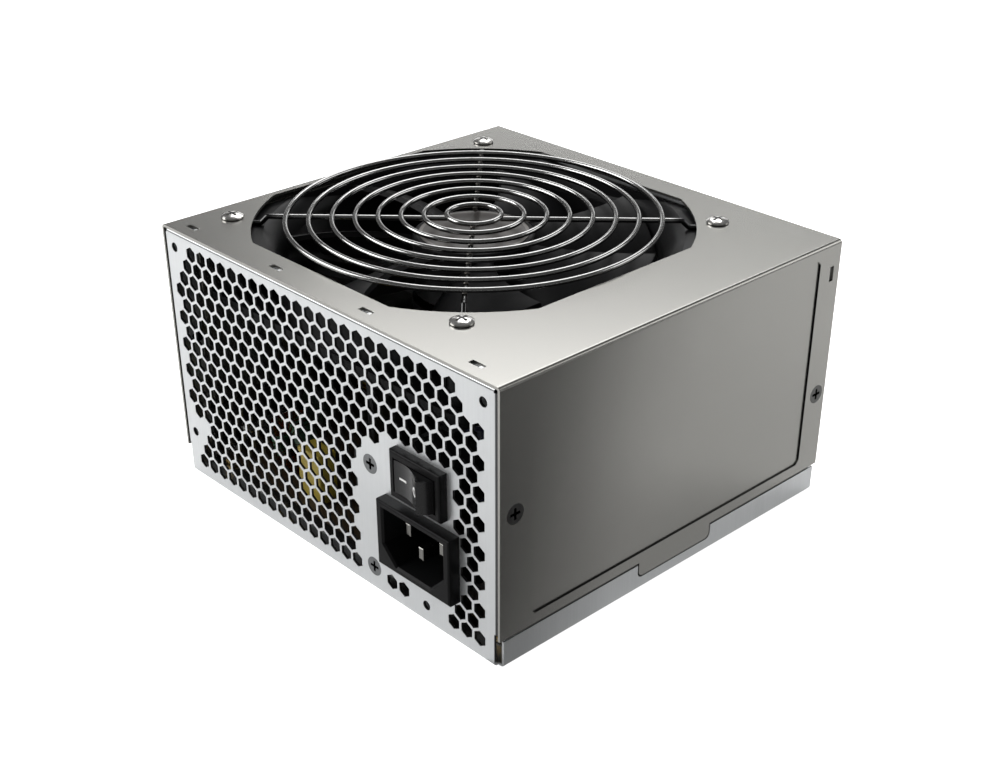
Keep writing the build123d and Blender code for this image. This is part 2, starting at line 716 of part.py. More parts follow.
with BuildPart() as rocker_marks:
    # a bar along the left half and a ring on the right half, inlaid in the hollow face
    with BuildSketch(rocker_at_rest.offset(-rocker_half_width)):
        with BuildLine():
            ThreePointArc(*[(x, y - 0.06) for x, y in dish_line])
            Line((rim_half, -rocker_lip - 0.06), (rim_half, -rocker_lip + 0.3))
            ThreePointArc(*[(x, y + 0.3) for x, y in reversed(dish_line)])
            Line((-rim_half, -rocker_lip + 0.3), (-rim_half, -rocker_lip - 0.06))
        make_face()
    extrude(amount=2 * rocker_half_width)
    face_on = Plane(origin=rocker_at_rest.origin, x_dir=rocker_at_rest.x_dir, z_dir=-rocker_at_rest.y_dir)
    with BuildSketch(face_on):
        with Locations((-3.4, 0)):
            Rectangle(2.8, 0.6)
        with Locations((3.5, 0)):
            Circle(1.4)
            Circle(0.85, mode=Mode.SUBTRACT)
    extrude(amount=12, mode=Mode.INTERSECT)
save(rocker_marks.part, "rocker_marks")

with BuildPart() as switch_rocker:
    with BuildSketch(rocker_at_rest.offset(-rocker_half_width)):
        with BuildLine():
            ThreePointArc(*dish_line)
            ThreePointArc((rim_half, -rocker_lip), (rocker_radius, 0), (sole_half, rocker_sole))
            Line((sole_half, rocker_sole), (-sole_half, rocker_sole))
            ThreePointArc((-sole_half, rocker_sole), (-rocker_radius, 0), (-rim_half, -rocker_lip))
        make_face()
    extrude(amount=2 * rocker_half_width)
    with Locations((switch_x, rear_y, switch_z)):
        Cylinder(trunnion_radius, 2 * (rocker_half_width + trunnion_length))
    add(rocker_marks.part, mode=Mode.SUBTRACT)
save(switch_rocker.part, "switch_rocker")

with BuildPart() as switch_terminals:
    with Locations((switch_x, rear_y + switch_back, switch_z)):
        with GridLocations(9.0, 0, 2, 1):
            with Locations((0, 0, -2.6), (0, 0, 2.6)):
                Box(0.8, terminal_length, 4.0, align=(Align.CENTER, Align.MIN, Align.CENTER))
save(switch_terminals.part, "switch_terminals")

# ---------------------------------------------------------------- cable outlet's grommet
grommet_wall = 1.5
grommet_flange = 2.2
grommet_lip = 2.0

with BuildPart() as cable_grommet:
    with BuildSketch(Plane(origin=(outlet_x, front_y, outlet_z), x_dir=(1, 0, 0), z_dir=(0, 0, 1))):
        with BuildLine():
            Polyline(
                (outlet_radius - grommet_wall, grommet_lip),
                (outlet_radius + grommet_flange, grommet_lip),
                (outlet_radius + grommet_flange, 0),
                (outlet_radius - 0.05, 0),
                (outlet_radius - 0.05, -sheet),
                (outlet_radius + grommet_flange, -sheet),
                (outlet_radius + grommet_flange, -sheet - grommet_lip),
                (outlet_radius - grommet_wall, -sheet - grommet_lip),
                close=True,
            )
        make_face()
    revolve(axis=Axis((outlet_x, front_y, outlet_z), (0, 1, 0)))
    fillet(cable_grommet.edges().filter_by(GeomType.CIRCLE).group_by(Axis.Y)[-1], 0.6)
save(cable_grommet.part, "cable_grommet")

# ---------------------------------------------------------------- main board and what holds it
board_hole_inset = 5.0
standoff_flats = 5.0
board_screw_radius = 1.5
board_hole_radius = board_screw_radius + 0.1
board_centre_x = (board_left + board_right) / 2
board_centre_y = (board_rear + board_front) / 2
board_width = board_right - board_left
board_length = board_front - board_rear
board_middle = Plane(origin=(board_centre_x, board_centre_y, 0))
board_hole_grid = (board_width - 2 * board_hole_inset, board_length - 2 * board_hole_inset)
insulation_thickness = 0.4
insulation_rise = 19.0  # the film's long edges turn up inside the tray's lips
insulation_clearance = 1.2  # between those edges and the lips
standoff_height = board_height - sheet


def on_board(x, y, z=0.0):
    """A point measured from the board's rear left corner and its top face."""
    return (board_left + x, board_rear + y, board_top + z)


def from_right(x, y, z=0.0):
    """A point measured from the board's rear right corner and its top face."""
    return (board_right - x, board_rear + y, board_top + z)


with BuildPart() as main_board:
    with BuildSketch(board_middle.offset(board_height)) as board_outline:
        Rectangle(board_width, board_length)
        chamfer(board_outline.vertices(), 1.5)
        with GridLocations(*board_hole_grid, 2, 2):
            Circle(board_hole_radius, mode=Mode.SUBTRACT)
    extrude(amount=board_thickness)
save(main_board.part, "main_board")

with BuildPart() as insulation_sheet:
    insulation_edge = half_width - sheet - insulation_clearance
    with BuildSketch(board_middle.offset(sheet)):
        RectangleRounded(2 * insulation_edge, board_length - 2.0, 2.0)
        with GridLocations(*board_hole_grid, 2, 2):
            Circle(standoff_flats / 2 + 1.4, mode=Mode.SUBTRACT)
    extrude(amount=insulation_thickness)
    with Locations(board_middle.offset(sheet)):
        with GridLocations(2 * insulation_edge - insulation_thickness, 0, 2, 1):
            Box(insulation_thickness, board_length - 6.0, insulation_rise, align=STANDING)
save(insulation_sheet.part, "insulation_sheet")

with BuildPart() as board_standoffs:
    with BuildSketch(board_middle.offset(sheet)):
        with GridLocations(*board_hole_grid, 2, 2):
            RegularPolygon(standoff_flats / 2, 6, major_radius=False)
            Circle(board_screw_radius, mode=Mode.SUBTRACT)
    extrude(amount=standoff_height)
save(board_standoffs.part, "board_standoffs")

with BuildPart() as board_screws:
    with Locations(board_middle.offset(board_top)):
        with GridLocations(*board_hole_grid, 2, 2):
            add(pan_screw(2.8, 1.8, board_screw_radius, board_thickness + 4.0))
save(board_screws.part, "board_screws")

# ---------------------------------------------------------------- mains filter behind the rear panel
bracket_thickness = 1.2
bracket_width = 9.0
bracket_bottom = 3.5
bracket_top = switch_z + 2.0
bracket_x = switch_x - 22.25
bracket_arm = 20.0
filter_board_size = (18.0, 24.0)
disc_radius = 4.5

with BuildPart() as inlet_bracket:
    with BuildSketch(facing_rear(bracket_x, rear_y + sheet, 0)) as bracket_plate:
        with Locations((0, bracket_bottom)):
            Rectangle(bracket_width, bracket_top - bracket_bottom, align=BOTTOM)
        fillet(bracket_plate.vertices(), 2.0)
    extrude(amount=-bracket_thickness)
    with BuildSketch(facing_rear(bracket_x + bracket_width / 2 - bracket_thickness / 2, rear_y + sheet, 0)):
        with Locations((0, board_top + 4.0)):
            Rectangle(bracket_thickness, filter_board_size[1] + 4.0, align=BOTTOM)
    extrude(amount=-bracket_arm)
    with Locations(*[Plane(origin=(x, rear_y, z), z_dir=(0, -1, 0)) for x, z in bracket_screw_places]):
        add(side_screw_seat, mode=Mode.SUBTRACT)
save(inlet_bracket.part, "inlet_bracket")

filter_face_x = bracket_x + bracket_width / 2 - bracket_thickness
filter_middle = (filter_face_x, rear_y + sheet + bracket_arm - filter_board_size[0] / 2, board_top + 18.0)

with BuildPart() as filter_board:
    with Locations(filter_middle):
        Box(board_thickness, *filter_board_size, align=(Align.MAX, Align.CENTER, Align.CENTER))
save(filter_board.part, "filter_board")


def dipped_disc(radius, thickness):
    """A round-edged disc lying round Z on the origin."""
    with BuildPart() as disc:
        Cylinder(radius, thickness, align=STANDING)
        fillet(disc.edges().filter_by(GeomType.CIRCLE), thickness * 0.35)
    return disc.part


with BuildPart() as y_capacitors:
    for step in (-5.5, 5.5):
        disc_place = Plane(
            origin=(filter_middle[0] - board_thickness, filter_middle[1], filter_middle[2] + step),
            x_dir=(0, 1, 0),
            z_dir=(-1, 0, 0),
        )
        with Locations(disc_place.offset(2.0)):
            add(dipped_disc(disc_radius, 3.0))
        with Locations(disc_place):
            with GridLocations(5.0, 0, 2, 1):
                Cylinder(0.4, 3.0, align=STANDING)
save(y_capacitors.part, "y_capacitors")

with BuildPart() as x_capacitor:
    with Locations(on_board(49, 7)):
        Box(11.0, 7.0, 17.0, align=STANDING)
    fillet(x_capacitor.edges().filter_by(Axis.Z), 0.8)
    fillet(x_capacitor.edges().group_by(Axis.Z)[-1], 0.6)
save(x_capacitor.part, "x_capacitor")


def ring_core(outer, inner, width):
    """A ring core round Z, with softened edges, centred on the origin."""
    with BuildPart() as core:
        with BuildSketch(Plane.XZ):
            with Locations(((outer + inner) / 2, 0)):
                RectangleRounded(outer - inner, width, 0.8)
        revolve(axis=Axis.Z)
    return core.part


def ring_winding(outer, inner, width, wire_size, arc):
    """A sleeve of wire round a ring core, leaving a gap in the ring."""
    with BuildPart() as coil:
        with BuildSketch(Plane.XZ):
            with Locations(((outer + inner) / 2, 0)):
                RectangleRounded(outer - inner + 2 * wire_size, width + 2 * wire_size, wire_size)
                RectangleRounded(outer - inner, width, 0.8, mode=Mode.SUBTRACT)
        revolve(axis=Axis.Z, revolution_arc=arc)
    return coil.part


filter_ring = (9.0, 5.0, 7.0)
filter_wire = 1.0
filter_ring_place = Plane(
    origin=on_board(31, 12, filter_ring[0] + filter_wire), x_dir=(0, 0, -1), z_dir=(0, 1, 0)
)

with BuildPart() as filter_choke_core:
    with Locations(filter_ring_place):
        add(ring_core(*filter_ring))
save(filter_choke_core.part, "filter_choke_core")

with BuildPart() as filter_choke_winding:
    with Locations(filter_ring_place):
        with PolarLocations(0, 2, start_angle=10):
            add(ring_winding(*filter_ring, filter_wire, 160))
save(filter_choke_winding.part, "filter_choke_winding")

fuse_radius = 2.6
fuse_length = 20.0
fuse_middle = on_board(6.0, 19, 4.2)

with BuildPart() as fuse:
    with Locations(Plane(origin=fuse_middle, z_dir=(0, 1, 0))):
        Cylinder(fuse_radius - 0.1, fuse_length)
        with Locations((0, 0, -fuse_length / 2 + 2.5), (0, 0, fuse_length / 2 - 2.5)):
            Cylinder(fuse_radius, 5.0)
save(fuse.part, "fuse")

with BuildPart() as fuse_clips:
    for step in (-1, 1):
        with BuildSketch(facing_rear(fuse_middle[0], fuse_middle[1] + step * 7.5, board_top)):
            with Locations((0, 4.2)):
                Circle(fuse_radius + 0.5)
                Circle(fuse_radius, mode=Mode.SUBTRACT)
                with Locations((0, fuse_radius)):
                    Rectangle(3.4, fuse_radius, mode=Mode.SUBTRACT)
            Rectangle(4.0, 1.35, align=BOTTOM)
        extrude(amount=1.7, both=True)
save(fuse_clips.part, "fuse_clips")

with BuildPart() as thermistor:
    with Locations(Plane(origin=on_board(16, 29.8, 9.5), z_dir=(0, 1, 0))):
        add(dipped_disc(6.5, 4.4))
    with Locations(on_board(16, 32)):
        with GridLocations(7.0, 0, 2, 1):
            Cylinder(0.45, 6.0, align=STANDING)
save(thermistor.part, "thermistor")

with BuildPart() as bridge_rectifier:
    with Locations(from_right(65, 12, 4.0)):
        Box(22.0, 3.6, 18.5, align=STANDING)
    chamfer(bridge_rectifier.edges().group_by(Axis.Z)[-1].filter_by(Axis.Y).sort_by(Axis.X)[-1], 3.0)
    with Locations(from_right(65, 12)):
        with GridLocations(5.08, 0, 4, 1):
            Box(1.2, 0.7, 4.0, align=STANDING)
save(bridge_rectifier.part, "bridge_rectifier")


def can_capacitor(radius, height):
    """An upright electrolytic can with a crimp near its base and a rolled rim round its top."""
    with BuildPart() as can:
        with BuildSketch(Plane.XZ):
            with BuildLine():
                Polyline((0, 0), (radius - 0.4, 0), (radius, 0.4), (radius, radius * 0.22))
                ThreePointArc((radius, radius * 0.22), (radius * 0.93, radius * 0.3), (radius, radius * 0.38))
                Polyline(
                    (radius, radius * 0.38),
                    (radius, height - 0.8),
                    (radius - 0.8, height),
                    (radius - 1.4, height),
                    (radius - 1.6, height - 0.3),
                    (0, height - 0.3),
                    (0, 0),
                )
            make_face()
        revolve(axis=Axis.Z)
    return can.part


bulk_capacitor_places = [from_right(48, 44), from_right(48, 70)]

with BuildPart() as bulk_capacitors:
    with Locations(*bulk_capacitor_places):
        add(can_capacitor(11.0, 32.0))
save(bulk_capacitors.part, "bulk_capacitors")

# ---------------------------------------------------------------- heatsinks and what is bolted to them
sink_top = min(51.0, fan_bottom - 5.0)
sink_thickness = 3.0
sink_height = sink_top - board_top
sink_fin = 12.0
sink_fin_thickness = 1.6
sink_fin_pitch = 8.0
sink_foot = 1.5
device_width = 10.0
device_thickness = 4.6
tab_thickness = 1.3
device_drop = 6.0
device_screw_height = 20.5


def heatsink(length, fins):
    """A comb-section heatsink: a plate along Y from the origin, with upright fins towards +X."""
    with BuildPart() as sink:
        with BuildSketch():
            Rectangle(sink_thickness, length, align=(Align.MIN, Align.MIN))
            for fin in range(fins):
                with Locations((sink_thickness - 0.1, 3.0 + fin * sink_fin_pitch)):
                    Rectangle(sink_fin + 0.1, sink_fin_thickness, align=(Align.MIN, Align.MIN))
        extrude(amount=sink_height)
        with Locations((sink_thickness + sink_fin / 2 + 1, length / 2, 0)):
            Box(sink_fin + 2, length, 2 * sink_foot, mode=Mode.SUBTRACT)
    return sink.part


def tab_transistor():
    """A three-leg power device: its tab's back on the YZ plane, body towards -X, legs down."""
    with BuildPart() as device:
        with Locations((0, 0, device_drop + 9.0)):
            Box(tab_thickness, device_width, 6.5, align=(Align.MAX, Align.CENTER, Align.MIN))
        with Locations((0, 0, device_drop)):
            Box(device_thickness, device_width, 9.2, align=(Align.MAX, Align.CENTER, Align.MIN))
        with Locations((0, 0, device_drop + 12.4)):
            Cylinder(1.8, 10, rotation=(0, 90, 0), mode=Mode.SUBTRACT)
        with Locations((-2.4, 0, 0)):
            with GridLocations(0, 2.54, 1, 3):
                Box(0.5, 0.9, device_drop + 0.2, align=STANDING)
    return device.part


sink_hole_height = device_drop + 12.4
primary_sink_place = from_right(29.5, 29)
primary_sink_length = 85.0
primary_device_steps = [10.0, 60.0, 73.0]
secondary_sink_place = on_board(40.5, 34)
secondary_sink_length = 82.0
secondary_device_steps = [16.0, 42.0, 64.0]
primary_devices = [
    (primary_sink_place[0], primary_sink_place[1] + step, board_top) for step in primary_device_steps
]
secondary_devices = [
    (secondary_sink_place[0], secondary_sink_place[1] + step, board_top) for step in secondary_device_steps
]
sink_screw = pan_screw(2.7, 1.8, 1.5, 4.3)

for name, place, length, fins, devices in (
    ("primary_heatsink", primary_sink_place, primary_sink_length, 10, primary_devices),
    ("secondary_heatsink", secondary_sink_place, secondary_sink_length, 0, secondary_devices),
):
    with BuildPart() as sink_with_holes:
        with Locations(place):
            add(heatsink(length, fins))
        with Locations(*[(x, y, z + sink_hole_height) for x, y, z in devices]):
            Cylinder(1.55, 8, rotation=(0, 90, 0), mode=Mode.SUBTRACT)
    save(sink_with_holes.part, name)

with BuildPart() as power_transistors:
    with Locations(*primary_devices):
        add(tab_transistor())
save(power_transistors.part, "power_transistors")

with BuildPart() as output_rectifiers:
    with Locations(*secondary_devices):
        add(tab_transistor())
save(output_rectifiers.part, "output_rectifiers")

with BuildPart() as heatsink_screws:
    with Locations(*[
        Plane(origin=(x - tab_thickness, y, z + sink_hole_height), z_dir=(-1, 0, 0))
        for x, y, z in primary_devices + secondary_devices
    ]):
        add(sink_screw)
save(heatsink_screws.part, "heatsink_screws")


# ---------------------------------------------------------------- transformers and chokes
def frame_core(width, length, height, limb):
    """A shell-type ferrite core standing on the origin, its two windows opening along X."""
    with BuildPart() as core:
        Box(width, length, height, align=STANDING)
        window = (length - 3 * limb) / 2 + limb / 4
        for side in (-1, 1):
            with Locations((0, side * (limb / 2 + limb / 4 + window / 2 - limb / 4), height / 2)):
                Box(width + 1, window, height - limb, mode=Mode.SUBTRACT)
        chamfer(core.edges().filter_by(Axis.Z).filter_by(
            lambda e: abs(abs(e.center().Y) - length / 2) < 0.01), 0.6)
    return core.part


def wound_bobbin(width, length, height, hole_width, hole_length):
    """A taped winding with rounded corners, round a rectangular hole, standing on the origin."""
    with BuildPart() as bobbin:
        with BuildSketch():
            RectangleRounded(width, length, min(width, length) * 0.25)
        extrude(amount=height)
        fillet(bobbin.edges().group_by(Axis.Z)[-1], 0.8)
        with BuildSketch():
            Rectangle(hole_width, hole_length)
        extrude(amount=height, mode=Mode.SUBTRACT)
    return bobbin.part


main_core = (12.0, 33.0, 29.0, 6.0)
main_window = (main_core[1] - 3 * main_core[3]) / 2 + main_core[3] / 4
main_place = from_right(75, 69)
core_gap = 0.1

with BuildPart() as main_transformer_core:
    with Locations(main_place):
        add(frame_core(*main_core))
save(main_transformer_core.part, "main_transformer_core")

with BuildPart() as main_transformer_winding:
    with Locations((main_place[0], main_place[1], board_top + main_core[3] / 2 + core_gap)):
        add(wound_bobbin(
            27.0,
            main_core[3] * 1.0 + 2 * (main_window - core_gap),
            main_core[2] - main_core[3] - 2 * core_gap,
            main_core[0] + 2 * core_gap,
            main_core[3] + 2 * core_gap,
        ))
save(main_transformer_winding.part, "main_transformer_winding")

for name, place, size in (
    ("standby_transformer", from_right(75, 102), (20.0, 19.0, 19.0)),
    ("driver_transformer", from_right(75, 42), (16.0, 15.0, 15.0)),
):
    with BuildPart() as small_transformer:
        with Locations(place):
            Box(size[0] * 0.4, size[1], size[2], align=STANDING)
        with Locations((place[0], place[1], board_top)):
            Box(size[0], size[1] * 0.8, 2.5, align=STANDING)
        with Locations((place[0], place[1], board_top + 3.5)):
            add(wound_bobbin(size[0] * 0.9, size[1] * 0.72, size[2] - 7.0, 1.0, 1.0))
    save(small_transformer.part, name)

output_ring = (13.0, 7.5, 12.0)
output_wire = 1.2
output_ring_place = Plane(
    origin=on_board(19, 64, output_ring[0] + output_wire), x_dir=(0, 0, -1), z_dir=(1, 0, 0)
)

with BuildPart() as output_choke_core:
    with Locations(output_ring_place):
        add(ring_core(*output_ring))
save(output_choke_core.part, "output_choke_core")

with BuildPart() as output_choke_winding:
    with Locations(output_ring_place):
        with PolarLocations(0, 1, start_angle=15):
            add(ring_winding(*output_ring, output_wire, 330))
save(output_choke_winding.part, "output_choke_winding")

with BuildPart() as rod_chokes:
    with Locations(on_board(30, 88), on_board(30, 108)):
        Cylinder(2.4, 17.0, align=STANDING)
        with Locations((0, 0, 1.5)):
            Cylinder(3.6, 13.5, align=STANDING)
save(rod_chokes.part, "rod_chokes")

with BuildPart() as output_capacitors:
    for row in range(3):
        with Locations(on_board(8, 86 + 13 * row), on_board(20.5, 86 + 13 * row)):
            add(can_capacitor(5.0, 22.0 - 2.5 * (row % 2)))
save(output_capacitors.part, "output_capacitors")

# ---------------------------------------------------------------- small board parts
with BuildPart() as control_chips:
    for chip_place, chip_length in ((on_board(62, 119), 20.0), (on_board(86, 119), 10.0)):
        with Locations((chip_place[0], chip_place[1], chip_place[2] + 0.6)):
            Box(chip_length, 6.5, 3.4, align=STANDING)
        with Locations(chip_place):
            with GridLocations(2.54, 7.6, int(chip_length / 2.54), 2):
                Box(0.5, 1.2, 2.4, align=STANDING)
save(control_chips.part, "control_chips")

with BuildPart() as fan_header:
    with Locations(from_right(18, 119)):
        Box(7.5, 5.8, 3.2, align=STANDING)
    with Locations(from_right(18, 121.4)):
        Box(7.5, 1.0, 8.0, align=STANDING)
    with Locations(from_right(18, 119)):
        with GridLocations(2.54, 0, 2, 1):
            Box(0.64, 0.64, 8.5, align=STANDING)
save(fan_header.part, "fan_header")

with BuildPart() as bleed_resistors:
    for step in (0, 9):
        with Locations(Plane(origin=from_right(48, 92 + step, 3.4), z_dir=(1, 0, 0))):
            Cylinder(2.2, 12.0)
            Cylinder(0.4, 18.0)
        with Locations(from_right(48, 92 + step)):
            with GridLocations(18.0, 0, 2, 1):
                Cylinder(0.4, 3.8, align=STANDING)
save(bleed_resistors.part, "bleed_resistors")
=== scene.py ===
"""A desktop computer power supply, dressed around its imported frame. Everything is in metres."""

import math

import bmesh
import bpy
from mathutils import Matrix, Vector


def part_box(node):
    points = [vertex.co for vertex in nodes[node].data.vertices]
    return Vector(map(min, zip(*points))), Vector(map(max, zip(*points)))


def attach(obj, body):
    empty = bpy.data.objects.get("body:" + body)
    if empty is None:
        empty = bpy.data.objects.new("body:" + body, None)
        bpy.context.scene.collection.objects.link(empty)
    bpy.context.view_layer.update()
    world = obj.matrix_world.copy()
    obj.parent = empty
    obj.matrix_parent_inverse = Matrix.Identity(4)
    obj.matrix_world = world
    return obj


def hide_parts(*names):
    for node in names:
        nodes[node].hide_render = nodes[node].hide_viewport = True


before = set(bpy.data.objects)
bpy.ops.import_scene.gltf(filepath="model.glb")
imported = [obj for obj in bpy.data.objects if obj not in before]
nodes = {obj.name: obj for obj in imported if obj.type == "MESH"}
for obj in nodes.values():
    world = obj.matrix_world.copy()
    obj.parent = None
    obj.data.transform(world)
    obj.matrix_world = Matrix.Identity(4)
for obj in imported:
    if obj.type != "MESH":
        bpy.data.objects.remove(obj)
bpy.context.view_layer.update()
MM = 0.001

# ------------------------------------------------------------------ camera, floor and light
# The unit stands on a white table, seen from above its rear right corner. A large softbox hangs over
# its far side and a long low one stands behind it. A third lights the rear panel from the left, and
# a weak one fills along the right side.
scene = bpy.context.scene
scene.view_settings.view_transform = "Standard"
azimuth, elevation = math.radians(46.654), math.radians(30.494)
camera_data = bpy.data.cameras.new("camera")
camera_data.sensor_fit = "HORIZONTAL"
camera_data.sensor_width = 36.0
camera_data.lens = 54.45
camera_data.shift_y = 0.0835
camera_data.clip_start = 0.02
camera = bpy.data.objects.new("camera", camera_data)
scene.collection.objects.link(camera)
camera.location = (0.311897, -0.293543, 0.254904)
looking = Vector(
    (-math.sin(azimuth) * math.cos(elevation), math.cos(azimuth) * math.cos(elevation), -math.sin(elevation))
)
camera.rotation_euler = looking.to_track_quat("-Z", "Y").to_euler()
scene.camera = camera


def softbox(name, towards, height, distance, width, length, power, aim=(0, 0, 0.05)):
    """A rectangular light standing off the unit at a heading and an elevation, both in degrees."""
    light = bpy.data.lights.new(name, "AREA")
    light.shape = "RECTANGLE"
    light.size, light.size_y = width, length
    light.energy = power
    lamp = bpy.data.objects.new(name, light)
    scene.collection.objects.link(lamp)
    heading, rise = math.radians(towards), math.radians(height)
    lamp.location = Vector(aim) + distance * Vector(
        (math.cos(heading) * math.cos(rise), math.sin(heading) * math.cos(rise), math.sin(rise))
    )
    lamp.rotation_euler = (Vector(aim) - lamp.location).to_track_quat("-Z", "Y").to_euler()


softbox("over_light", 130, 48, 1.6, 0.9, 1.15, 13.5)
softbox("back_light", 133, 11, 2.2, 1.6, 0.45, 3)
softbox("left_light", -142, 30, 1.5, 1.2, 0.8, 19)
softbox("right_light", 60, 24, 1.5, 0.9, 0.6, 4)
world = bpy.data.worlds.new("studio")
scene.world = world
world.use_nodes = True
world_light = world.node_tree.nodes["Background"]
world_light.inputs["Color"].default_value = (1.0, 1.0, 1.0, 1.0)


def shine(tree, strength_socket, reflected, added_to_camera):
    """Sets how bright a surface is in reflections, and how much more it is to the camera."""
    path = tree.nodes.new("ShaderNodeLightPath")
    strength = tree.nodes.new("ShaderNodeMath")
    strength.operation = "MULTIPLY_ADD"
    strength.inputs[1].default_value = added_to_camera
    strength.inputs[2].default_value = reflected
    tree.links.new(path.outputs["Is Camera Ray"], strength.inputs[0])
    tree.links.new(strength.outputs[0], strength_socket)


shine(world.node_tree, world_light.inputs["Strength"], 0.16, 0.90)


def plain_material(name, colour, roughness, metallic=0.0):
    """A material with nodes, and its shader ready for more to be wired in."""
    material = bpy.data.materials.new(name)
    material.use_nodes = True
    shader = material.node_tree.nodes["Principled BSDF"]
    shader.inputs["Base Color"].default_value = (*colour, 1.0)
    shader.inputs["Roughness"].default_value = roughness
    shader.inputs["Metallic"].default_value = metallic
    return material, shader


def staged_sheet(name, length, width, material, middle=(0.0, 0.0)):
    """A flat sheet round a middle of its own, staged beside the unit."""
    sheet_in_work = bmesh.new()
    bmesh.ops.create_grid(
        sheet_in_work, x_segments=1, y_segments=1, size=0.5,
        matrix=Matrix.Translation((*middle, 0.0)) @ Matrix.Diagonal((length, width, 1.0, 1.0)),
    )
    mesh = bpy.data.meshes.new(name)
    sheet_in_work.to_mesh(mesh)
    sheet_in_work.free()
    mesh.materials.append(material)
    sheet = bpy.data.objects.new(name, mesh)
    scene.collection.objects.link(sheet)
    return sheet


table_white, table_shader = plain_material("table_white", (0.93, 0.93, 0.93), 0.6)
table_shader.inputs["Emission Color"].default_value = (1.0, 1.0, 1.0, 1.0)
shine(table_white.node_tree, table_shader.inputs["Emission Strength"], 0.34, 0.55)
TABLE_SIDE = 8.0
table_top = staged_sheet("table_top", TABLE_SIDE, TABLE_SIDE, table_white)
table_top.location.z = -0.2 * MM

# A black card lies on the table off the near corner, seen only in reflections, so that the side
# falls away to dark towards that corner. Its long edge is soft.
CARD_HEADING, CARD_LENGTH, CARD_WIDTH, CARD_SOFT = 54.0, 0.5, 0.34, 0.036
card_black, card_shader = plain_material("card_black", (0.004, 0.004, 0.004), 0.9)
card_tree = card_black.node_tree
card_across = card_tree.nodes.new("ShaderNodeSeparateXYZ")
card_tree.links.new(card_tree.nodes.new("ShaderNodeTexCoord").outputs["Object"], card_across.inputs["Vector"])
card_fade = card_tree.nodes.new("ShaderNodeMapRange")
card_fade.inputs["From Min"].default_value = 0.0
card_fade.inputs["From Max"].default_value = -CARD_SOFT
card_fade.inputs["To Max"].default_value = 0.96
card_tree.links.new(card_across.outputs["Y"], card_fade.inputs["Value"])
card_tree.links.new(card_fade.outputs["Result"], card_shader.inputs["Alpha"])
black_card = staged_sheet("black_card", CARD_LENGTH, CARD_WIDTH, card_black,
                          (CARD_LENGTH / 2 + 4.0 * MM, -CARD_WIDTH / 2))
black_card.rotation_euler.z = math.radians(CARD_HEADING)
black_card.location = (49.0 * MM, -60.5 * MM, 0.4 * MM)
black_card.visible_camera = black_card.visible_diffuse = black_card.visible_shadow = False

# ------------------------------------------------------------------ folded tray with the rear panel
# Zinc-plated sheet steel, punched with the honeycomb and folded into floor, rear panel, front wall
# and side lips. The plating is satin, faintly cloudy, and has fine rolling lines.


def wire(tree, source, target):
    """Joins one socket to another."""
    tree.links.new(source, target)


def new_group(name, inputs, outputs):
    """An empty node group with named inputs and outputs, given as (name, type, start value)."""
    group = bpy.data.node_groups.new(name, "ShaderNodeTree")
    for label, kind, start in inputs:
        socket = group.interface.new_socket(name=label, in_out="INPUT", socket_type=kind)
        socket.default_value = start
    for label, kind in outputs:
        group.interface.new_socket(name=label, in_out="OUTPUT", socket_type=kind)
    return group, group.nodes.new("NodeGroupInput"), group.nodes.new("NodeGroupOutput")


def noise(tree, vector, scale, detail=3.0, roughness=0.55, stretch=None):
    """A noise texture, drawn out along an axis where stretch says so. Its scale may be a socket."""
    if stretch:
        mapping = tree.nodes.new("ShaderNodeMapping")
        mapping.inputs["Scale"].default_value = stretch
        wire(tree, vector, mapping.inputs["Vector"])
        vector = mapping.outputs["Vector"]
    texture = tree.nodes.new("ShaderNodeTexNoise")
    if isinstance(scale, float):
        texture.inputs["Scale"].default_value = scale
    else:
        wire(tree, scale, texture.inputs["Scale"])
    texture.inputs["Detail"].default_value = detail
    texture.inputs["Roughness"].default_value = roughness
    wire(tree, vector, texture.inputs["Vector"])
    return texture.outputs["Fac"]


def remap(tree, value, low, high, to_low, to_high):
    """Stretches a value from one range to another, and holds it there."""
    ranged = tree.nodes.new("ShaderNodeMapRange")
    for label, number in (("From Min", low), ("From Max", high), ("To Min", to_low), ("To Max", to_high)):
        ranged.inputs[label].default_value = number
    wire(tree, value, ranged.inputs["Value"])
    return ranged.outputs["Result"]


def sum_up(tree, first, second, operation="ADD"):
    """Arithmetic on two values, each a socket or a number."""
    node = tree.nodes.new("ShaderNodeMath")
    node.operation = operation
    for socket, value in ((node.inputs[0], first), (node.inputs[1], second)):
        if isinstance(value, (int, float)):
            socket.default_value = value
        else:
            wire(tree, value, socket)
    return node.outputs[0]


def mix_colours(tree, factor, first, second):
    """Blends two colours, each a socket or an RGB value."""
    mixer = tree.nodes.new("ShaderNodeMix")
    mixer.data_type = "RGBA"
    wire(tree, factor, mixer.inputs["Factor"])
    colour_a, colour_b = mixer.inputs[6], mixer.inputs[7]  # the node has an A and a B for each data type
    for socket, colour in ((colour_a, first), (colour_b, second)):
        if isinstance(colour, tuple):
            socket.default_value = (*colour, 1.0)
        else:
            wire(tree, colour, socket)
    return mixer.outputs[2]


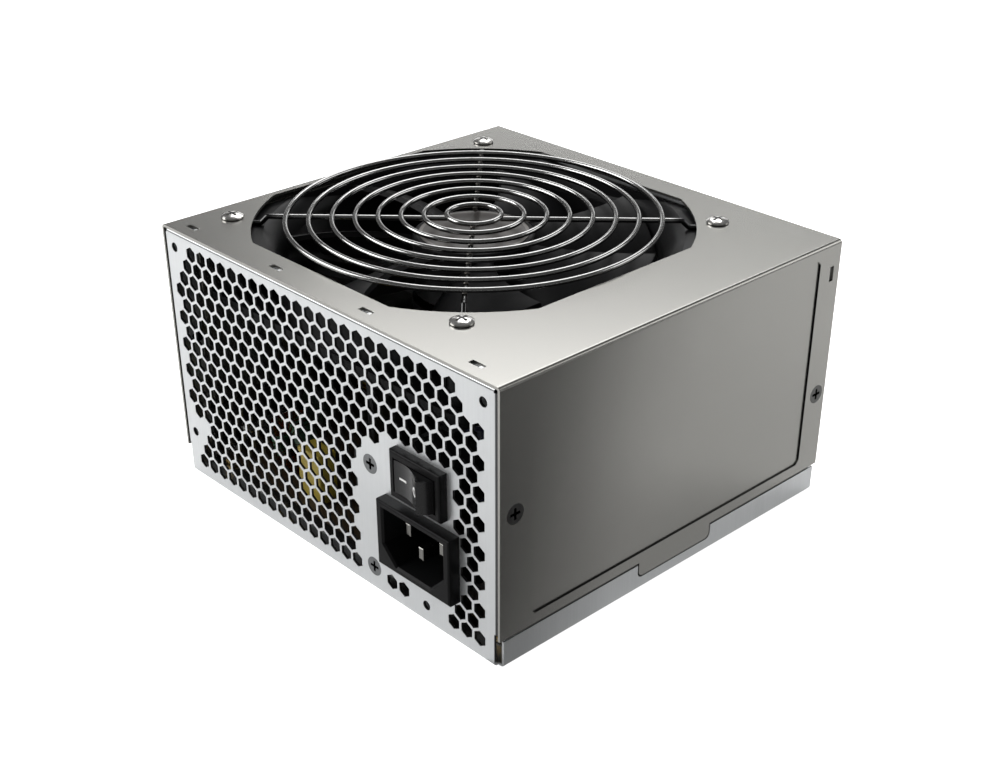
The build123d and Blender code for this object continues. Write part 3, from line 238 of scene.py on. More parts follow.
def surface_group(name, streaks):
    """Patches of two tones, uneven gloss and a fine grain, drawn out along Z where there are streaks."""
    group, given, out = new_group(
        name,
        [
            ("Vector", "NodeSocketVector", (0.0, 0.0, 0.0)),
            ("Colour", "NodeSocketColor", (0.5, 0.5, 0.5, 1.0)),
            ("Second Colour", "NodeSocketColor", (0.4, 0.4, 0.4, 1.0)),
            ("Patch Scale", "NodeSocketFloat", 40.0),
            ("Grain Scale", "NodeSocketFloat", 1200.0),
            ("Roughness", "NodeSocketFloat", 0.4),
            ("Gloss Spread", "NodeSocketFloat", 0.05),
        ],
        [("Colour", "NodeSocketColor"), ("Roughness", "NodeSocketFloat"), ("Height", "NodeSocketFloat")],
    )
    vector = given.outputs["Vector"]
    patches = noise(group, vector, given.outputs["Patch Scale"], 4.0, 0.6)
    grain = noise(group, vector, given.outputs["Grain Scale"], 2.0, 0.5, stretch=streaks)
    tone = sum_up(group, remap(group, patches, 0.3, 0.7, 0.0, 0.6), remap(group, grain, 0.35, 0.65, 0.0, 0.4))
    colour = mix_colours(group, tone, given.outputs["Colour"], given.outputs["Second Colour"])
    wire(group, colour, out.inputs["Colour"])
    spread = sum_up(group, remap(group, tone, 0.0, 1.0, -1.0, 1.0), given.outputs["Gloss Spread"], "MULTIPLY")
    wire(group, sum_up(group, spread, given.outputs["Roughness"]), out.inputs["Roughness"])
    wire(group, grain, out.inputs["Height"])
    return group


drawn_surface = surface_group("drawn_surface", (1.0, 1.0, 0.02))


def object_vector(tree):
    """The Object coordinate, which every pattern is laid on."""
    return tree.nodes.new("ShaderNodeTexCoord").outputs["Object"]


def coordinate(tree, axis):
    """One Object coordinate, in metres."""
    parts = tree.nodes.new("ShaderNodeSeparateXYZ")
    wire(tree, object_vector(tree), parts.inputs["Vector"])
    return parts.outputs[axis]


def bump(tree, height, shader, distance, strength=0.5):
    """Raises a height into the shader's normal."""
    raised = tree.nodes.new("ShaderNodeBump")
    raised.inputs["Strength"].default_value = strength
    raised.inputs["Distance"].default_value = distance
    wire(tree, height, raised.inputs["Height"])
    wire(tree, raised.outputs["Normal"], shader.inputs["Normal"])


class Finish:
    """One material: its shader, its tree and the surface group's node, ready for more to be added."""

    def __init__(self, name, colour, second, roughness, metallic=0.0, group=None, patch=60.0, grain=1500.0,
                 relief=0.003 * MM, gloss_spread=0.04):
        self.material, self.shader = plain_material(name, colour, roughness, metallic)
        self.tree = self.material.node_tree
        self.surface = self.tree.nodes.new("ShaderNodeGroup")
        self.surface.node_tree = group or drawn_surface
        self.surface.inputs["Colour"].default_value = (*colour, 1.0)
        self.surface.inputs["Second Colour"].default_value = (*second, 1.0)
        self.surface.inputs["Patch Scale"].default_value = patch
        self.surface.inputs["Grain Scale"].default_value = grain
        self.surface.inputs["Roughness"].default_value = roughness
        self.surface.inputs["Gloss Spread"].default_value = gloss_spread
        wire(self.tree, object_vector(self.tree), self.surface.inputs["Vector"])
        wire(self.tree, self.surface.outputs["Roughness"], self.shader.inputs["Roughness"])
        self.colour = self.surface.outputs["Colour"]
        self.height = self.surface.outputs["Height"]
        self.relief = relief

    def paint(self, mask, colour):
        """Lays a flat colour over what is there, where the mask is 1."""
        self.colour = mix_colours(self.tree, mask, self.colour, colour)

    def band(self, axis, low, high, soft=0.04 * MM):
        """A mask that is 1 between two places on an axis, in metres."""
        place = coordinate(self.tree, axis)
        rising = remap(self.tree, place, low - soft, low + soft, 0.0, 1.0)
        falling = remap(self.tree, place, high - soft, high + soft, 1.0, 0.0)
        return sum_up(self.tree, rising, falling, "MULTIPLY")

    def set_specular(self, level):
        """Dulls a plastic's clear reflection, which is 0.5 on the shader."""
        self.shader.inputs["Specular IOR Level"].default_value = level

    def metal_where(self, mask):
        """Makes the surface bare metal where the mask is 1."""
        wire(self.tree, mask, self.shader.inputs["Metallic"])

    def on(self, *names):
        """Closes the material and gives it to carried-over nodes."""
        wire(self.tree, self.colour, self.shader.inputs["Base Color"])
        bump(self.tree, self.height, self.shader, self.relief)
        for name in names:
            mesh = nodes[name].data
            mesh.materials.clear()
            mesh.materials.append(self.material)
        return self.material


plated_steel = Finish("plated_steel", (0.58, 0.592, 0.598), (0.54, 0.552, 0.558), 0.40, 0.80, patch=32.0,
                      relief=0.001 * MM)
case_low, case_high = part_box("base_chassis")
half_width, rear_face, front_face = case_high.x, case_low.y, case_high.y
SHEET = 0.8 * MM
# the punched and sheared walls behind the rear face are painted dark: partly their bare steel, partly painted
# shade inside the holes
cut_edge_and_shade = plated_steel.band("Y", rear_face + 0.07 * MM, rear_face + SHEET + 0.15 * MM)
inner_half = half_width - 0.9 * MM
for across, low, high in (("Z", 1.2 * MM, case_high.z - 1.0 * MM), ("X", -inner_half, inner_half)):
    cut_edge_and_shade = sum_up(plated_steel.tree, cut_edge_and_shade, plated_steel.band(across, low, high), "MULTIPLY")
plated_steel.paint(cut_edge_and_shade, (0.075, 0.076, 0.078))
plated_steel.on("base_chassis")

# ------------------------------------------------------------------ cover
# Folded sheet steel with a warm grey satin coat, brushed up and down the sides. The sides carry a
# shallow pressed panel and a tongue that drops into the tray's lip; the lid is cut out for the fan.
cover_grey = Finish("cover_grey", (0.300, 0.296, 0.278), (0.285, 0.281, 0.264), 0.25, 0.85, patch=18.0,
                    grain=3800.0, relief=0.0004 * MM, gloss_spread=0.02)
# painted shade lies in the step along the foot and the front end of the pressed panel
lid_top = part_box("top_cover")[1].z
panel_foot, panel_head = 12.8 * MM, lid_top - 4.0 * MM
panel_rear, panel_front = rear_face + 11.8 * MM, front_face - 9.8 * MM
STEP_SOFT, END_SOFT = 0.05 * MM, 0.4 * MM
foot_step_shade = sum_up(
    cover_grey.tree, cover_grey.band("Z", panel_foot - 0.12 * MM, panel_foot + 0.16 * MM, STEP_SOFT),
    cover_grey.band("Y", panel_rear + 1.0 * MM, panel_front - 1.0 * MM, END_SOFT), "MULTIPLY")
front_step_shade = sum_up(
    cover_grey.tree, cover_grey.band("Y", panel_front - 0.16 * MM, panel_front + 0.10 * MM, STEP_SOFT),
    cover_grey.band("Z", panel_foot + 1.4 * MM, panel_head - 1.2 * MM, END_SOFT), "MULTIPLY")
cover_grey.paint(sum_up(cover_grey.tree, foot_step_shade, front_step_shade, "MAXIMUM"), (0.016, 0.016, 0.015))
cover_grey.on("top_cover")

# ------------------------------------------------------------------ screws
# Cross-head steel screws: bright pan heads for the fan, flush countersunk heads elsewhere. The case screws
# are blackened. Painted shade darkens every recess, and the sides and shanks below the fan screws' head tops.
fan_screw_bright = Finish("fan_screw_bright", (0.66, 0.65, 0.63), (0.55, 0.54, 0.52), 0.22, 1.0)


def screw_cross(finish, first_axis, first_middle, second_axis, second_middle, reach, half_slot=0.42 * MM):
    """A mask over the crossed recesses of screws, whose heads are centred on two places on each axis."""
    offsets = []
    for axis, (low, high) in ((first_axis, first_middle), (second_axis, second_middle)):
        from_middle = sum_up(finish.tree, coordinate(finish.tree, axis), (low + high) / 2, "SUBTRACT")
        folded = sum_up(finish.tree, from_middle, 0.0, "ABSOLUTE")
        from_screw = sum_up(finish.tree, folded, (high - low) / 2, "SUBTRACT")
        offsets.append(sum_up(finish.tree, from_screw, 0.0, "ABSOLUTE"))
    near_arm = sum_up(finish.tree, *offsets, "MINIMUM")
    arm_end = sum_up(finish.tree, *offsets, "MAXIMUM")
    in_arm = remap(finish.tree, near_arm, half_slot - 0.06 * MM, half_slot + 0.06 * MM, 1.0, 0.0)
    within = remap(finish.tree, arm_end, reach - 0.08 * MM, reach + 0.08 * MM, 1.0, 0.0)
    return sum_up(finish.tree, in_arm, within, "MULTIPLY")


def node_centre(name):
    """The middle of a node's box."""
    low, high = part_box(name)
    return (low + high) / 2


fan_centre = node_centre("fan_shaft")
HALF_PITCH = 52.5 * MM
# painted shade in the fan screws' cross recesses
fan_cross_shade = screw_cross(
    fan_screw_bright, "X", (fan_centre.x - HALF_PITCH, fan_centre.x + HALF_PITCH),
    "Y", (fan_centre.y - HALF_PITCH, fan_centre.y + HALF_PITCH), 2.0 * MM)
fan_screw_bright.paint(fan_cross_shade, (0.012, 0.012, 0.012))
# painted shade on the fan screws' head sides and shanks, below the top of each head
under_head_shade = fan_screw_bright.band("Z", lid_top - 8.0 * MM, lid_top + 0.25 * MM, 0.08 * MM)
fan_screw_bright.paint(under_head_shade, (0.02, 0.02, 0.02))
fan_screw_bright.on("fan_screws")
board_screw_bright = Finish("board_screw_bright", (0.60, 0.59, 0.56), (0.45, 0.44, 0.42), 0.28, 1.0)
board_screw_bright.on("board_screws", "heatsink_screws")
case_screw_black = Finish("case_screw_black", (0.075, 0.075, 0.075), (0.11, 0.11, 0.105), 0.38, 1.0)
# painted shade over the case screws' cross recesses, leaving only the outer face of each head
side_recess_shade = case_screw_black.band("X", 0.14 * MM - half_width, half_width - 0.14 * MM)
case_screw_black.paint(side_recess_shade, (0.004, 0.004, 0.004))
case_screw_black.on("cover_screws")
panel_screw = Finish("panel_screw", (0.15, 0.155, 0.158), (0.12, 0.124, 0.127), 0.30, 1.0)
# painted shade in the panel screws' cross recesses, behind the rear face
panel_recess_shade = panel_screw.band("Y", rear_face + 0.13 * MM, rear_face + 10.0 * MM)
panel_screw.paint(panel_recess_shade, (0.006, 0.006, 0.006))
panel_screw.on("panel_screws")

# ------------------------------------------------------------------ guard
# Round steel wire, bent into eight rings and welded to four spokes, then bright nickel plated. Each
# weld leaves a small flattened nugget between ring and spoke.
guard_bright = Finish("guard_bright", (0.36, 0.36, 0.355), (0.26, 0.26, 0.255), 0.15, 1.0, patch=90.0)

FIRST_RING, LAST_RING, RING_COUNT = 8.3 * MM, 57.3 * MM, 8
WELD_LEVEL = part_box("fan_guard")[1].z - 1.5 * MM


def far_from(finish, place, near, far, flatten):
    """A mask that rises from 0 to 1 between two distances from a place, along the axes kept."""
    scaled = finish.tree.nodes.new("ShaderNodeVectorMath")
    scaled.operation = "MULTIPLY"
    wire(finish.tree, object_vector(finish.tree), scaled.inputs[0])
    scaled.inputs[1].default_value = flatten
    distance = finish.tree.nodes.new("ShaderNodeVectorMath")
    distance.operation = "DISTANCE"
    wire(finish.tree, scaled.outputs["Vector"], distance.inputs[0])
    distance.inputs[1].default_value = [value * kept for value, kept in zip(place, flatten)]
    return remap(finish.tree, distance.outputs["Value"], near, far, 0.0, 1.0)


# the spokes' ends run down beside the screws and are painted dark, as shade
FLAT = (1.0, 1.0, 0.0)
guard_bright.paint(far_from(guard_bright, fan_centre, 60.0 * MM, 62.5 * MM, FLAT), (0.05, 0.05, 0.05))
guard_bright.on("fan_guard")


def finished_piece(name, mesh_in_work, material, body, smooth_angle=35.0):
    """Turns a bmesh into a piece on a body, with a material and a slot, its edges smooth but for corners."""
    bmesh.ops.recalc_face_normals(mesh_in_work, faces=mesh_in_work.faces)
    mesh = bpy.data.meshes.new(name)
    mesh_in_work.to_mesh(mesh)
    mesh_in_work.free()
    for polygon in mesh.polygons:
        polygon.use_smooth = True
    mesh.set_sharp_from_angle(angle=math.radians(smooth_angle))
    mesh.materials.append(material)
    piece = bpy.data.objects.new(name, mesh)
    scene.collection.objects.link(piece)
    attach(piece, body)
    return piece


welds = bmesh.new()
for ring in range(RING_COUNT):
    ring_radius = FIRST_RING + (LAST_RING - FIRST_RING) * ring / (RING_COUNT - 1)
    for spoke in range(4):
        turned = Matrix.Rotation(math.radians(45 + 90 * spoke), 4, "Z")
        place = Matrix.Translation((fan_centre.x, fan_centre.y, WELD_LEVEL)) @ turned
        bmesh.ops.create_uvsphere(
            welds, u_segments=10, v_segments=6, radius=0.62 * MM,
            matrix=place @ Matrix.Translation((ring_radius, 0, 0)) @ Matrix.Diagonal((1.5, 1.5, 0.8, 1.0)),
        )
weld_grey = Finish("weld_grey", (0.34, 0.33, 0.31), (0.20, 0.18, 0.16), 0.34, 1.0, patch=300.0,
                   relief=0.01 * MM)
finished_piece("guard_welds", welds, weld_grey.on(), "casing")

# ------------------------------------------------------------------ fan frame and rotor
# Glass-filled nylon, moulded black: a square frame with a round duct, and a seven-bladed rotor with
# a plain round sticker on its hub.
moulded_surface = surface_group("moulded_surface", (1.0, 1.0, 1.0))
fan_black = Finish("fan_black", (0.010, 0.010, 0.0105), (0.013, 0.013, 0.0135), 0.36, 0.0, moulded_surface,
                   grain=2200.0, relief=0.004 * MM)
fan_black.set_specular(0.08)
fan_black.on("fan_frame", "fan_rotor")
sticker = Finish("hub_sticker", (0.026, 0.022, 0.018), (0.042, 0.034, 0.028), 0.34, 0.2, moulded_surface,
                 patch=70.0, relief=0.006 * MM)
sticker.paint(far_from(sticker, fan_centre, 15.8 * MM, 16.0 * MM, FLAT), (0.14, 0.13, 0.12))
sticker.on("fan_rotor_label")

# ------------------------------------------------------------------ fan motor
# A deep-drawn steel cup with a bonded ferrite ring, a ground shaft in a sintered bronze bearing, and
# a stack of laminations wound with enamelled copper over a small driver board.
cup_steel = Finish("cup_steel", (0.42, 0.42, 0.42), (0.33, 0.33, 0.33), 0.32, 1.0)
cup_steel.on("fan_yoke")
ferrite_ring = Finish("ferrite_ring", (0.035, 0.034, 0.033), (0.055, 0.053, 0.050), 0.62, 0.0,
                      moulded_surface)
ferrite_ring.on("fan_magnet")
ground_steel = Finish("ground_steel", (0.62, 0.62, 0.62), (0.55, 0.55, 0.55), 0.16, 1.0)
ground_steel.on("fan_shaft")
sintered_bronze = Finish("sintered_bronze", (0.45, 0.28, 0.12), (0.34, 0.20, 0.09), 0.48, 1.0,
                         moulded_surface)
sintered_bronze.on("fan_bearing")


WAVE_AT_SCALE_ONE = 0.314  # the wave texture's pitch in metres at a scale of 1


def layered(finish, axis, pitch, depth):
    """Adds ridges at an even pitch along an axis, such as laminations or turns of wire."""
    ridges = finish.tree.nodes.new("ShaderNodeTexWave")
    ridges.wave_type = "BANDS"
    ridges.bands_direction = axis
    ridges.inputs["Scale"].default_value = WAVE_AT_SCALE_ONE / pitch
    ridges.inputs["Distortion"].default_value = 0.15
    wire(finish.tree, object_vector(finish.tree), ridges.inputs["Vector"])
    finish.height = sum_up(finish.tree, finish.height, ridges.outputs["Fac"])
    finish.relief = depth
    return ridges.outputs["Fac"]


def shade_in_grooves(finish, axis, pitch, depth, reach, strength, colour):
    """Lays a colour in the grooves between ridges, up to a share of their height, as painted shade."""
    ridges = layered(finish, axis, pitch, depth)
    finish.paint(remap(finish.tree, ridges, 0.0, reach, strength, 0.0), colour)


laminations = Finish("laminations", (0.28, 0.28, 0.285), (0.20, 0.20, 0.205), 0.42, 1.0)
# painted shade, and the plates' dark joints, between the laminations
shade_in_grooves(laminations, "Z", 0.5 * MM, 0.05 * MM, 0.3, 0.7, (0.05, 0.045, 0.04))
laminations.on("fan_stator_core")
coil_copper = Finish("coil_copper", (0.48, 0.17, 0.06), (0.36, 0.12, 0.045), 0.26, 0.9, moulded_surface)
# painted shade between the turns of wire
shade_in_grooves(coil_copper, "Z", 0.3 * MM, 0.06 * MM, 0.3, 0.7, (0.12, 0.035, 0.012))
coil_copper.on("fan_windings")
laminate_tan = Finish("laminate_tan", (0.055, 0.034, 0.016), (0.040, 0.024, 0.012), 0.48, 0.0,
                      moulded_surface, patch=120.0)
for thread_axis in ("X", "Y"):
    layered(laminate_tan, thread_axis, 0.6 * MM, 0.012 * MM)
laminate_tan.on("fan_driver_board", "filter_board", "main_board")
clip_nylon = Finish("clip_nylon", (0.70, 0.69, 0.63), (0.62, 0.61, 0.55), 0.42, 0.0, moulded_surface)
clip_nylon.shader.inputs["Subsurface Weight"].default_value = 0.1
clip_nylon.on("fan_retaining_clip")

# ------------------------------------------------------------------ mains inlet
# A moulded black socket with three flat nickel-plated blades, their ends chamfered.
inlet_black = Finish("inlet_black", (0.0055, 0.0055, 0.0058), (0.0075, 0.0075, 0.0078), 0.34, 0.0,
                     moulded_surface, grain=3200.0, relief=0.008 * MM)
inlet_black.set_specular(0.06)
inlet_black.on("inlet_housing", "switch_housing")
blade_nickel = Finish("blade_nickel", (0.20, 0.197, 0.185), (0.15, 0.147, 0.138), 0.24, 1.0)
blade_nickel.on("inlet_pins", "switch_terminals")

# ------------------------------------------------------------------ rocker switch
# A gloss black rocker that tips on two stubs in its frame, with moulded-in white marks.
rocker_gloss = Finish("rocker_gloss", (0.006, 0.006, 0.0065), (0.008, 0.008, 0.0085), 0.22, 0.0,
                      moulded_surface)
rocker_gloss.set_specular(0.25)
rocker_gloss.on("switch_rocker")
mark_white = Finish("mark_white", (0.80, 0.80, 0.79), (0.72, 0.72, 0.70), 0.40, 0.0, moulded_surface)
mark_white.on("rocker_marks")

# ------------------------------------------------------------------ cable outlet
# A soft moulded bush that snaps into the front wall.
bush_rubber = Finish("bush_rubber", (0.012, 0.012, 0.012), (0.018, 0.018, 0.018), 0.55, 0.0, moulded_surface,
                     relief=0.01 * MM)
bush_rubber.on("cable_grommet")

# ------------------------------------------------------------------ inlet bracket and its filter board
# A folded plated bracket holds a small board with two blue dipped discs behind the inlet.
bracket_steel = Finish("bracket_steel", (0.50, 0.50, 0.49), (0.42, 0.42, 0.41), 0.36, 0.9)
bracket_steel.on("inlet_bracket")
disc_blue = Finish("disc_blue", (0.025, 0.075, 0.30), (0.018, 0.055, 0.23), 0.24, 0.0, moulded_surface,
                   relief=0.03 * MM, patch=220.0)
disc_blue.on("y_capacitors")

# ------------------------------------------------------------------ main board and its fixings
# A single-sided laminate board on brass standoffs, over a sheet of smoky polyester film.
turned_brass = Finish("turned_brass", (0.50, 0.34, 0.12), (0.40, 0.27, 0.10), 0.28, 1.0)
turned_brass.on("board_standoffs")
smoky_film = Finish("smoky_film", (0.035, 0.034, 0.030), (0.028, 0.027, 0.024), 0.30, 0.0, moulded_surface)
smoky_film.on("insulation_sheet")

# ------------------------------------------------------------------ line filter
# A yellow boxed film capacitor beside a ring choke with two windings, a glass fuse in spring clips
# and a dark dipped thermistor.
box_yellow = Finish("box_yellow", (0.50, 0.38, 0.055), (0.43, 0.32, 0.045), 0.36, 0.0, moulded_surface,
                    relief=0.008 * MM)
box_yellow.on("x_capacitor")
ring_green = Finish("ring_green", (0.030, 0.12, 0.060), (0.022, 0.09, 0.045), 0.38, 0.0, moulded_surface,
                    relief=0.03 * MM, patch=200.0)
ring_green.on("filter_choke_core")
enamelled_copper = Finish("enamelled_copper", (0.50, 0.16, 0.050), (0.40, 0.12, 0.038), 0.22, 0.9,
                          moulded_surface, patch=160.0)
enamelled_copper.on()


def wound_ring(name, ring, wire_radius, centre, axis, arcs, turns, stands_for):
    """Turns of round wire on a ring core of (outer, inner, width), each a rounded loop about its section."""
    outer, inner, width = ring
    bend = wire_radius * 2.0
    sides, steps_round = 7, 12
    turn = bmesh.new()
    on_bend = Matrix.Translation((bend, 0, 0)) @ Matrix.Rotation(math.radians(90), 4, "X")
    bmesh.ops.create_circle(turn, segments=sides, radius=wire_radius, matrix=on_bend)
    half_step = Matrix.Rotation(math.radians(-180 / steps_round), 3, "Y")
    bmesh.ops.rotate(turn, verts=turn.verts, cent=(0, 0, 0), matrix=half_step)
    bmesh.ops.spin(turn, geom=turn.verts[:] + turn.edges[:], cent=(0, 0, 0), axis=(0, 1, 0),
                   angle=math.radians(360), steps=steps_round, use_merge=True)
    across = (outer - inner) / 2 + wire_radius - bend
    along = width / 2 + wire_radius - bend
    for vert in turn.verts:
        vert.co.x += math.copysign(across, vert.co.x) + (outer + inner) / 2
        vert.co.z += math.copysign(along, vert.co.z)
    loops = bmesh.new()
    loop_mesh = bpy.data.meshes.new(name + "_turn")
    turn.to_mesh(loop_mesh)
    turn.free()
    place = Matrix.Translation(centre) @ axis
    lean = Matrix.Rotation(math.radians(3.0), 4, "X")
    for start, end in arcs:
        for step in range(turns):
            angle = math.radians(start + (end - start) * (step + 0.5) / turns)
            before = len(loops.verts)
            loops.from_mesh(loop_mesh)
            loops.verts.ensure_lookup_table()
            bmesh.ops.transform(loops, matrix=place @ Matrix.Rotation(angle, 4, "Z") @ lean,
                                verts=loops.verts[before:])
    bpy.data.meshes.remove(loop_mesh)
    piece = finished_piece(name, loops, enamelled_copper.material, "casing", 80.0)
    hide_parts(stands_for)


wound_ring("filter_choke_turns", (9.0 * MM, 5.0 * MM, 7.0 * MM), 0.45 * MM, node_centre("filter_choke_core"),
           Matrix.Rotation(math.radians(90), 4, "X"), [(12, 168), (192, 348)], 16, "filter_choke_winding")

fuse_along = Matrix.Translation(node_centre("fuse")) @ Matrix.Rotation(math.radians(90), 4, "X")
fuse_low, fuse_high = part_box("fuse")
fuse_half = (fuse_high.y - fuse_low.y) / 2
CAP_LENGTH, CAP_RADIUS, TUBE_RADIUS = 5.0 * MM, 2.6 * MM, 2.45 * MM
fuse_glass, fuse_glass_shader = plain_material("fuse_glass", (0.93, 0.96, 0.95), 0.04)
fuse_glass_shader.inputs["Transmission Weight"].default_value = 0.9
fuse_glass_shader.inputs["IOR"].default_value = 1.5
glass_cloud = noise(fuse_glass.node_tree, object_vector(fuse_glass.node_tree), 300.0)
wire(fuse_glass.node_tree, remap(fuse_glass.node_tree, glass_cloud, 0.3, 0.7, 0.03, 0.09),
     fuse_glass_shader.inputs["Roughness"])
tube = bmesh.new()
bmesh.ops.create_cone(tube, cap_ends=True, segments=24, radius1=TUBE_RADIUS, radius2=TUBE_RADIUS,
                      depth=2 * (fuse_half - CAP_LENGTH + 0.4 * MM), matrix=fuse_along)
fuse_tube = finished_piece("fuse_tube", tube, fuse_glass, "casing")
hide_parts("fuse")


def rounded_rims(mesh_in_work, radius, steps):
    """Rounds every sharp edge of a cylinder."""
    rims = [edge for edge in mesh_in_work.edges if edge.is_manifold and edge.calc_face_angle() > 1.0]
    bmesh.ops.bevel(mesh_in_work, geom=rims, offset=radius, offset_type="OFFSET", segments=steps, profile=0.5,
                    affect="EDGES", material=-1)


caps = bmesh.new()
for end in (-1, 1):
    bmesh.ops.create_cone(caps, cap_ends=True, segments=28, radius1=CAP_RADIUS, radius2=CAP_RADIUS,
                          depth=CAP_LENGTH,
                          matrix=fuse_along @ Matrix.Translation((0, 0, end * (fuse_half - CAP_LENGTH / 2))))
rounded_rims(caps, 0.35 * MM, 3)
cap_nickel = Finish("cap_nickel", (0.58, 0.57, 0.54), (0.48, 0.47, 0.44), 0.24, 1.0)
fuse_caps = finished_piece("fuse_caps", caps, cap_nickel.on("fuse_clips"), "casing")
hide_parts("fuse")

board_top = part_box("main_board")[1].z
LEAD_TIN = (0.55, 0.55, 0.54)


def leaded(name, colour, second, roughness, lead_height, *names, relief=0.01 * MM):
    """A moulded or dipped body with tinned leads below a height over the board."""
    finish = Finish(name, colour, second, roughness, 0.0, moulded_surface, relief=relief)
    leads = finish.band("Z", 0.0, board_top + lead_height)
    finish.paint(leads, LEAD_TIN)
    finish.metal_where(leads)
    finish.on(*names)


leaded("dipped_green", (0.012, 0.022, 0.014), (0.018, 0.030, 0.020), 0.36, 3.0 * MM, "thermistor",
       relief=0.04 * MM)

# ------------------------------------------------------------------ rectifier and reservoir
# A flat moulded bridge, two tall sleeved cans with bare pressed tops, and a pair of banded resistors
# that bleed them.
leaded("bridge_black", (0.012, 0.012, 0.013), (0.018, 0.018, 0.019), 0.45, 3.98 * MM, "bridge_rectifier")


def sleeved_can(name, colour, second, stripe, node):
    """Shrunk sleeve with a plain pale stripe up one side, over a can whose top is bare aluminium."""
    finish = Finish(name, colour, second, 0.26, 0.0, moulded_surface, relief=0.006 * MM, patch=130.0)
    for low, high in stripe:
        finish.paint(finish.band("X", low, high), (0.34, 0.35, 0.37))
    facing = finish.tree.nodes.new("ShaderNodeSeparateXYZ")
    wire(finish.tree, finish.tree.nodes.new("ShaderNodeTexCoord").outputs["Normal"], facing.inputs["Vector"])
    upward = remap(finish.tree, facing.outputs["Z"], 0.94, 0.98, 0.0, 1.0)
    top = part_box(node)[1].z + 0.1 * MM
    bare = sum_up(finish.tree, upward, finish.band("Z", top - 6.0 * MM, top), "MULTIPLY")
    finish.paint(bare, (0.62, 0.62, 0.61))
    finish.metal_where(bare)
    finish.on(node)


sleeved_can("can_sleeve_dark", (0.012, 0.014, 0.030), (0.016, 0.019, 0.040),
            [(10.0 * MM, 12.6 * MM)], "bulk_capacitors")
resistor_body = Finish("resistor_body", (0.24, 0.34, 0.37), (0.20, 0.29, 0.32), 0.34, 0.0, moulded_surface)
resistor_middle = node_centre("bleed_resistors").x
for offset, band_colour in ((-4.4 * MM, (0.30, 0.03, 0.02)), (-2.2 * MM, (0.04, 0.02, 0.01)),
                            (0.0, (0.55, 0.25, 0.02)), (4.0 * MM, (0.45, 0.33, 0.08))):
    place = resistor_middle + offset
    resistor_body.paint(resistor_body.band("X", place - 0.4 * MM, place + 0.4 * MM), band_colour)
for lead_low, lead_high in ((-10.0 * MM, -6.1 * MM), (6.1 * MM, 10.0 * MM)):
    lead = resistor_body.band("X", resistor_middle + lead_low, resistor_middle + lead_high)
    resistor_body.paint(lead, LEAD_TIN)
resistor_body.on("bleed_resistors")

# ------------------------------------------------------------------ heat sinks and power devices
# Finned aluminium extrusions stand along both sides of the board, with black tab devices screwed to
# their inner faces.
# the aluminium is painted far darker than bare metal, as shade inside the case
sink_aluminium_in_shade = Finish("extruded_aluminium_in_painted_shade", (0.16, 0.162, 0.165), (0.12, 0.122, 0.125), 0.52, 1.0,
                  relief=0.006 * MM)
sink_aluminium_in_shade.on("primary_heatsink", "secondary_heatsink")
leaded("device_black", (0.010, 0.010, 0.011), (0.016, 0.016, 0.017), 0.42, 4.9 * MM, "power_transistors",
       "output_rectifiers")

# ------------------------------------------------------------------ transformers
# Ferrite frames round taped windings: the main one in the middle of the board, and two small ones.
ferrite_grey = Finish("ferrite_grey", (0.040, 0.040, 0.042), (0.060, 0.060, 0.062), 0.50, 0.0,
                      moulded_surface, relief=0.01 * MM, patch=240.0)
ferrite_grey.on("main_transformer_core")
taped_yellow = Finish("taped_yellow", (0.42, 0.31, 0.045), (0.35, 0.255, 0.035), 0.30, 0.0, moulded_surface)
# painted shade at the edges of the tape layers
shade_in_grooves(taped_yellow, "Z", 4.2 * MM, 0.06 * MM, 0.06, 0.8, (0.16, 0.10, 0.02))
taped_yellow.on("main_transformer_winding")
BOBBIN_BLACK, FERRITE_DARK, OVER = (0.03, 0.03, 0.032), (0.05, 0.05, 0.052), 1.0 * MM
for small_name in ("standby_transformer", "driver_transformer"):
    small = Finish(small_name + "_finish", (0.36, 0.27, 0.04), (0.30, 0.22, 0.03), 0.30, 0.0, moulded_surface)
    low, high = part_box(small_name)
    small.paint(small.band("Z", board_top - OVER, board_top + 2.5 * MM), BOBBIN_BLACK)
    small.paint(small.band("Z", high.z - 3.4 * MM, high.z + OVER), FERRITE_DARK)
    for side_low, side_high in ((low.y - OVER, low.y + 1.9 * MM), (high.y - 1.9 * MM, high.y + OVER)):
        small.paint(small.band("Y", side_low, side_high), FERRITE_DARK)
    small.on(small_name)

# ------------------------------------------------------------------ output filter
# A large ring choke in heavy wire, two rod chokes, six sleeved cans, the control chips and the
# header for the fan's lead.
ring_yellow = Finish("ring_yellow", (0.40, 0.33, 0.06), (0.34, 0.28, 0.05), 0.38, 0.0, moulded_surface,
                     relief=0.03 * MM, patch=200.0)
ring_yellow.on("output_choke_core")
wound_ring("output_choke_turns", (13.0 * MM, 7.5 * MM, 12.0 * MM), 0.55 * MM,
           node_centre("output_choke_core"), Matrix.Rotation(math.radians(90), 4, "Y"), [(15, 345)], 34,
           "output_choke_winding")

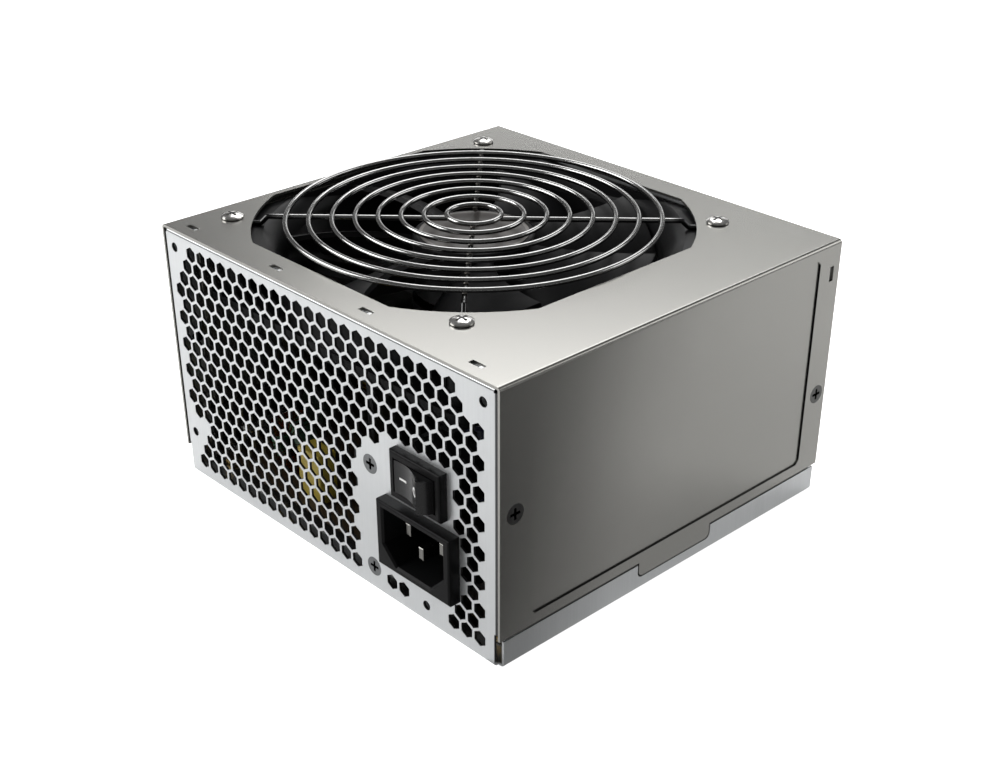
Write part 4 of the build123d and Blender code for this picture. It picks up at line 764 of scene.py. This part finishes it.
ROD_RADIUS, ROD_HEIGHT, ROD_INSET = 2.4 * MM, 17.0 * MM, 3.6 * MM
ROD_WIRE, ROD_TURNS, ROD_PITCH, ROD_START, ROD_STEPS = 0.55 * MM, 10, 1.22 * MM, 2.2 * MM, 20
rods, rod_turns = bmesh.new(), bmesh.new()
rod_low, rod_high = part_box("rod_chokes")
for rod_y in (rod_low.y + ROD_INSET, rod_high.y - ROD_INSET):
    foot = Vector(((rod_low.x + rod_high.x) / 2, rod_y, board_top))
    bmesh.ops.create_cone(rods, cap_ends=True, segments=24, radius1=ROD_RADIUS, radius2=ROD_RADIUS,
                          depth=ROD_HEIGHT, matrix=Matrix.Translation(foot + Vector((0, 0, ROD_HEIGHT / 2))))
    wire_end = bmesh.ops.create_circle(
        rod_turns, segments=8, radius=ROD_WIRE, cap_ends=True,
        matrix=Matrix.Translation(foot + Vector((ROD_RADIUS + ROD_WIRE, 0, ROD_START)))
        @ Matrix.Rotation(math.radians(90), 4, "X"),
    )
    seed_faces = list({face for vert in wire_end["verts"] for face in vert.link_faces})
    bmesh.ops.spin(rod_turns, geom=seed_faces, cent=foot, axis=(0, 0, 1), angle=math.radians(360 * ROD_TURNS),
                   dvec=(0, 0, ROD_PITCH / ROD_STEPS), steps=ROD_STEPS * ROD_TURNS)
rounded_rims(rods, 0.3 * MM, 2)
rod_ferrite = finished_piece("rod_choke_rods", rods, ferrite_grey.material, "casing")
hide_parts("rod_chokes")
rod_copper = finished_piece("rod_choke_turns", rod_turns, enamelled_copper.material, "casing", 80.0)
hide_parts("rod_chokes")

sleeved_can("can_sleeve_green", (0.014, 0.030, 0.020), (0.020, 0.040, 0.027),
            [(-67.2 * MM, -66.2 * MM), (-54.7 * MM, -53.7 * MM)], "output_capacitors")
leaded("chip_black", (0.012, 0.012, 0.012), (0.018, 0.018, 0.018), 0.50, 0.58 * MM, "control_chips")
header_white = Finish("header_white", (0.66, 0.64, 0.55), (0.58, 0.56, 0.48), 0.40, 0.0, moulded_surface)
header_white.on("fan_header")
